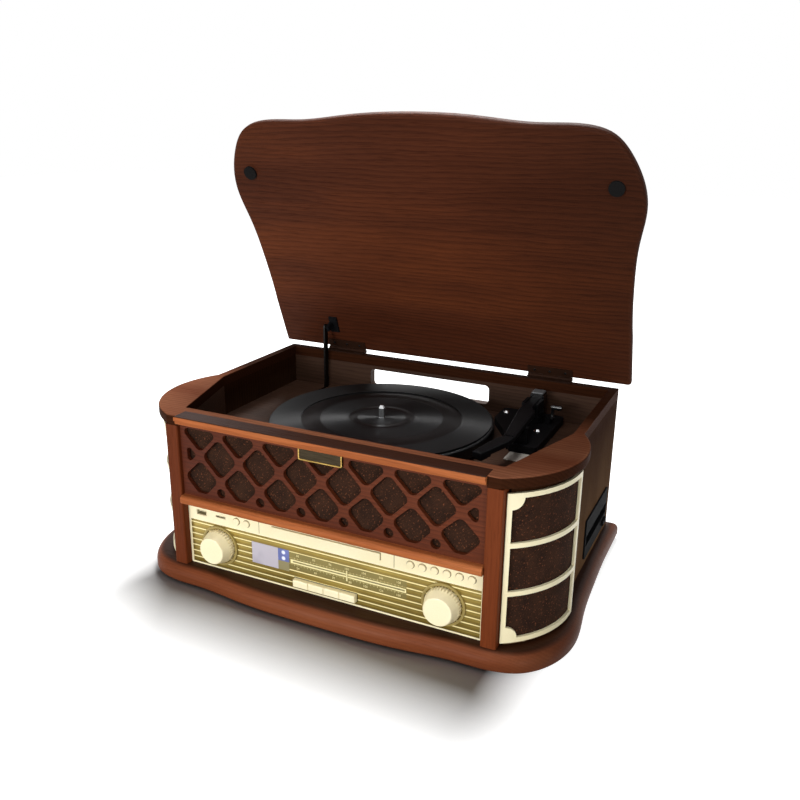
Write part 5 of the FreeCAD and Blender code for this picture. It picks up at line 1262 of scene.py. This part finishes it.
@dataclass
class DeckTrim(Assembly):
    """Small pieces of deck, lid and case: pale plate, weight cap, screws, corner veneers.

    A profile lists each ring of a small turned or domed piece: its inset or its share of the
    radius, and its lift in mm.
    """

    deck_mm: float = 154.0
    plate_low_mm: Span = (141.0, 2.0)
    plate_high_mm: Span = (165.0, 26.0)
    plate_proud_mm: float = 0.8
    plate_sunk_mm: float = 0.2
    plate_edge_mm: float = 0.3
    cap_margin_mm: float = 1.0
    cap_corner_mm: float = 2.2
    cap_profile: tuple[Span, ...] = ((0.0, -0.6), (0.0, 0.5), (0.5, 1.1), (1.6, 1.4))
    head_mm: float = 1.7
    head_profile: tuple[Span, ...] = (
        (1.0, -0.3), (1.0, 0.1), (0.8, 0.35), (0.45, 0.45), (0.4, 0.2), (0.1, 0.2))
    hinge_x_mm: tuple[float, ...] = (-164.0, -144.5, -125.0, 125.0, 144.5, 164.0)
    hinge_leaf_mm: Span = (163.1, 213.25)
    hinge_lean: float = math.radians(22.5)
    rear_y_mm: float = 163.0
    rear_x_mm: float = 213.0
    rear_z_mm: Point = (31.0, 107.5, 184.0)
    rear_size: float = 1.6
    cheek_r_mm: Span = (95.0, 95.8)
    cheek_turns_deg: Span = (1.2, 27.8)
    cheek_z_mm: Span = (23.2, 191.8)
    cheek_steps: int = 12

    def plate(self) -> Mesh:
        """Let a plate into the deck in front of the tonearm.

        Returns:
            Its mesh.
        """
        foot, head = self.deck_mm - self.plate_sunk_mm, self.deck_mm + self.plate_proud_mm
        shape = Shape()
        shape.slab((*self.plate_low_mm, foot), (*self.plate_high_mm, head), self.plate_edge_mm)
        return shape.mesh()

    def cap(self) -> Mesh:
        """Set a domed cap on the counterweight.

        Returns:
            Its mesh.
        """
        low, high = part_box("counterweight")
        middle, half = (low + high) / 2 / MM, (high - low) / 2 / MM
        shape = Shape()
        shape.skin([[
            (middle.x + x, middle.y + y, high.z / MM + lift) for x, y in loop_of(
                half.x - self.cap_margin_mm - inset, half.y - inset, self.cap_corner_mm - inset)
        ] for inset, lift in self.cap_profile])
        return shape.mesh()

    def screws(self, name: str, places_mm: Sequence[Point], turn: Point, size: float) -> Mesh:
        """Spread countersunk heads.

        Args:
            name: what the screws are called.
            places_mm: where each head sits.
            turn: how a head that faces the front is turned.
            size: a head's size against a hinge screw's.

        Returns:
            All heads as one mesh.
        """
        head = Shape()
        head.skin([round_loop(self.head_mm * share, -lift) for share, lift in self.head_profile])
        return Spread(name, self.looks[Look.STEEL]).mesh(head, places_mm, turn, size)

    def cheeks(self) -> Mesh:
        """Bend the veneers that close the corner speakers behind their frames.

        Returns:
            Both veneers as one mesh.
        """
        first, last = self.cheek_turns_deg
        (near, far), (low, high) = self.cheek_r_mm, self.cheek_z_mm
        corners = ((near, low), (far, low), (far, high), (near, high))
        steps = self.cheek_steps
        turns = [math.radians(first + (last - first) * i / steps) for i in range(steps + 1)]
        shape = Shape()
        for side in (-1, 1):
            shape.skin([[ear_point(side, r, turn, z) for r, z in corners] for turn in turns])
        return shape.mesh()

    def build(self) -> None:
        """Put each piece on the body that carries it."""
        hinge = [(x, *self.hinge_leaf_mm) for x in self.hinge_x_mm]
        rear = [
            (side * self.rear_x_mm, self.rear_y_mm, z) for side in (-1, 1) for z in self.rear_z_mm]
        self.put("deck_plate", self.plate(), Look.PLATE, Slot.CREAM)
        for name, places, turn, size, body in (
            ("hinge_screws", hinge, (self.hinge_lean, 0.0, 0.0), 1.0, Body.LID),
            ("rear_screws", rear, (0.0, 0.0, math.pi), self.rear_size, Body.CABINET),
        ):
            heads = self.screws(name, places, turn, size)
            self.put(name, heads, Look.STEEL, Slot.STEEL, body)
        self.put("ear_cheeks", self.cheeks(), Look.WALL, Slot.WOOD)
        self.put("weight_cap", self.cap(), Look.CAP, Slot.BLACK, Body.ARM)


@dataclass(frozen=True)
class Lamp:
    """A soft square light: its place and width in metres, its power in watts, its full angle."""

    name: str
    place: Point
    size: float
    power: float
    spread: float = math.pi
    on_floor: bool = True
    gloss_only: bool = False


@dataclass
class Studio:
    """Camera, pale floor, white backdrop and soft lights."""

    eye_mm: Point = (403.2, -824.0, 507.6)
    right: Point = (0.9030, 0.4297, 0.0114)
    up: Point = (-0.1455, 0.2806, 0.9488)
    lens_mm: float = 37.62
    sensor_mm: float = 36.0
    clip_m: float = 0.01
    floor_m: float = 6.0
    floor_tones: tuple[str, str] = ("C6C6C6", "CACACA")
    floor_cloud_mm: float = 300.0
    floor_roughness: float = 0.9
    # The patch round the object where the floor's white emission is withheld; its shape and soft
    # edge are painted shadow.
    shade_x_m: float = -0.01
    shade_half_m: Span = (0.205, 0.185)
    shade_turn: float = math.radians(3.0)
    shade_fade_m: Span = (0.052, 0.085)
    ambient: Span = (0.14, 1.0)
    aim_m: Point = (0.0, 0.0, 0.2)
    lamps: tuple[Lamp, ...] = (
        Lamp("key", (-0.6, -2.2, 0.28), 0.8, 41.0, on_floor=False),
        Lamp("fill", (1.5, -1.3, 0.15), 0.6, 15.0, on_floor=False),
        Lamp("top", (0.1, -0.9, 1.5), 0.5, 7.0, on_floor=False),
        Lamp("back", (-0.5, 1.3, 1.9), 1.1, 80.0),
        Lamp("deck", (0.0, 0.03, 1.0), 0.25, 0.16, 0.2),
        Lamp("sheen", (0.0, -0.1, 1.4), 0.3, 0.45, 0.5, gloss_only=True),
    )

    def camera(self) -> None:
        """Stand the camera where the picture was taken."""
        data = bpy.data.cameras.new("camera")
        data.lens = self.lens_mm
        data.sensor_width = self.sensor_mm
        data.clip_start = self.clip_m
        camera = bpy.data.objects.new("camera", data)
        bpy.context.scene.collection.objects.link(camera)
        right = Vector(self.right).normalized()
        back = right.cross(Vector(self.up)).normalized()
        up = back.cross(right).normalized()
        turn = Matrix((right, up, back)).transposed().to_4x4()
        camera.matrix_world = Matrix.Translation(Vector(self.eye_mm) * MM) @ turn
        bpy.context.scene.camera = camera

    def floor_material(self) -> Material:
        """Make the floor shine white to the eye, all but a soft patch round the object.

        Returns:
            The floor's material.
        """
        shade = Shade("Pale studio floor")
        spot = shade.add("ShaderNodeMapping", {
            "Vector": shade.place, "Location": (-self.shade_x_m, 0.0, 0.0),
            "Rotation": (0.0, 0.0, self.shade_turn),
        }).outputs[0]
        for how, by in (
            ("ABSOLUTE", ZERO), ("SUBTRACT", (*self.shade_half_m, 0.0)),
            ("MAXIMUM", ZERO), ("DIVIDE", (*self.shade_fade_m, 1.0)),
        ):
            spot = shade.vector(how, spot, by)
        # The shape and soft edge of the shadow are painted here; inside the patch the lamps' real
        # shadow shows.
        painted_shadow_edge = shade.remap(shade.vector("LENGTH", spot))
        shade.wear({
            "Base Color": shade.ramp(
                shade.noise(self.floor_cloud_mm, detail=2.0), UNIT, self.floor_tones),
            "Roughness": self.floor_roughness,
            "Specular IOR Level": 0.0,
            "Emission Color": WHITE,
            "Emission Strength": shade.value("MULTIPLY", shade.seen(), painted_shadow_edge),
        })
        return shade.material

    def floor(self) -> Collection:
        """Lay a pale floor that keeps the shadow.

        Returns:
            What a lamp has to light if it is kept off the floor.
        """
        shape = Shape()
        bmesh.ops.create_grid(shape.raw, x_segments=1, y_segments=1, size=self.floor_m)
        mesh = shape.mesh()
        mesh.materials.append(self.floor_material())
        floor = bpy.data.objects.new("floor", mesh)
        bpy.context.scene.collection.objects.link(floor)
        kept_off = bpy.data.collections.new("kept_off")
        kept_off.objects.link(floor)
        kept_off.collection_objects[0].light_linking.link_state = "EXCLUDE"
        return kept_off

    def backdrop(self) -> None:
        """Set a white surround that lights softly and shows white."""
        world = bpy.data.worlds.new("studio")
        world.use_nodes = True
        nodes = Nodes(world.node_tree)
        nodes.connect(world.node_tree.nodes["Background"], {
            "Color": WHITE, "Strength": nodes.remap(nodes.seen(), target=self.ambient),
        })
        bpy.context.scene.world = world

    def hang(self, lamp: Lamp, kept_off: Collection) -> None:
        """Hang one light and point it at the object.

        Args:
            lamp: the light.
            kept_off: what it lights if it is kept off the floor.
        """
        data = bpy.data.lights.new(lamp.name, "AREA")
        data.size = lamp.size
        data.energy = lamp.power
        data.spread = lamp.spread
        light = bpy.data.objects.new(lamp.name, data)
        light.location = lamp.place
        toward = Vector(self.aim_m) - Vector(lamp.place)
        light.rotation_euler = toward.to_track_quat("-Z", "Y").to_euler()
        light.visible_diffuse = not lamp.gloss_only
        bpy.context.scene.collection.objects.link(light)
        if not lamp.on_floor:
            light.light_linking.receiver_collection = kept_off

    def build(self) -> None:
        """Set up the whole studio."""
        bpy.context.scene.view_settings.view_transform = "Standard"
        self.camera()
        kept_off = self.floor()
        self.backdrop()
        for lamp in self.lamps:
            self.hang(lamp, kept_off)


def main() -> None:
    """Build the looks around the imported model."""
    logging.basicConfig(level=logging.INFO)
    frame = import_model()
    bpy.context.view_layer.update()
    looks = {look: look.value.material() for look in Look}
    Dress(looks).apply(frame["nodes"])
    for part in (DialPrint(looks), FrontTrim(looks), GrilleCloths(looks), DeckTrim(looks)):
        part.build()
        for piece in part.pieces:
            LOG.info("%s: built %s", type(part).__name__, piece.name)
    Studio().build()


if __name__ == "__main__":
    main()
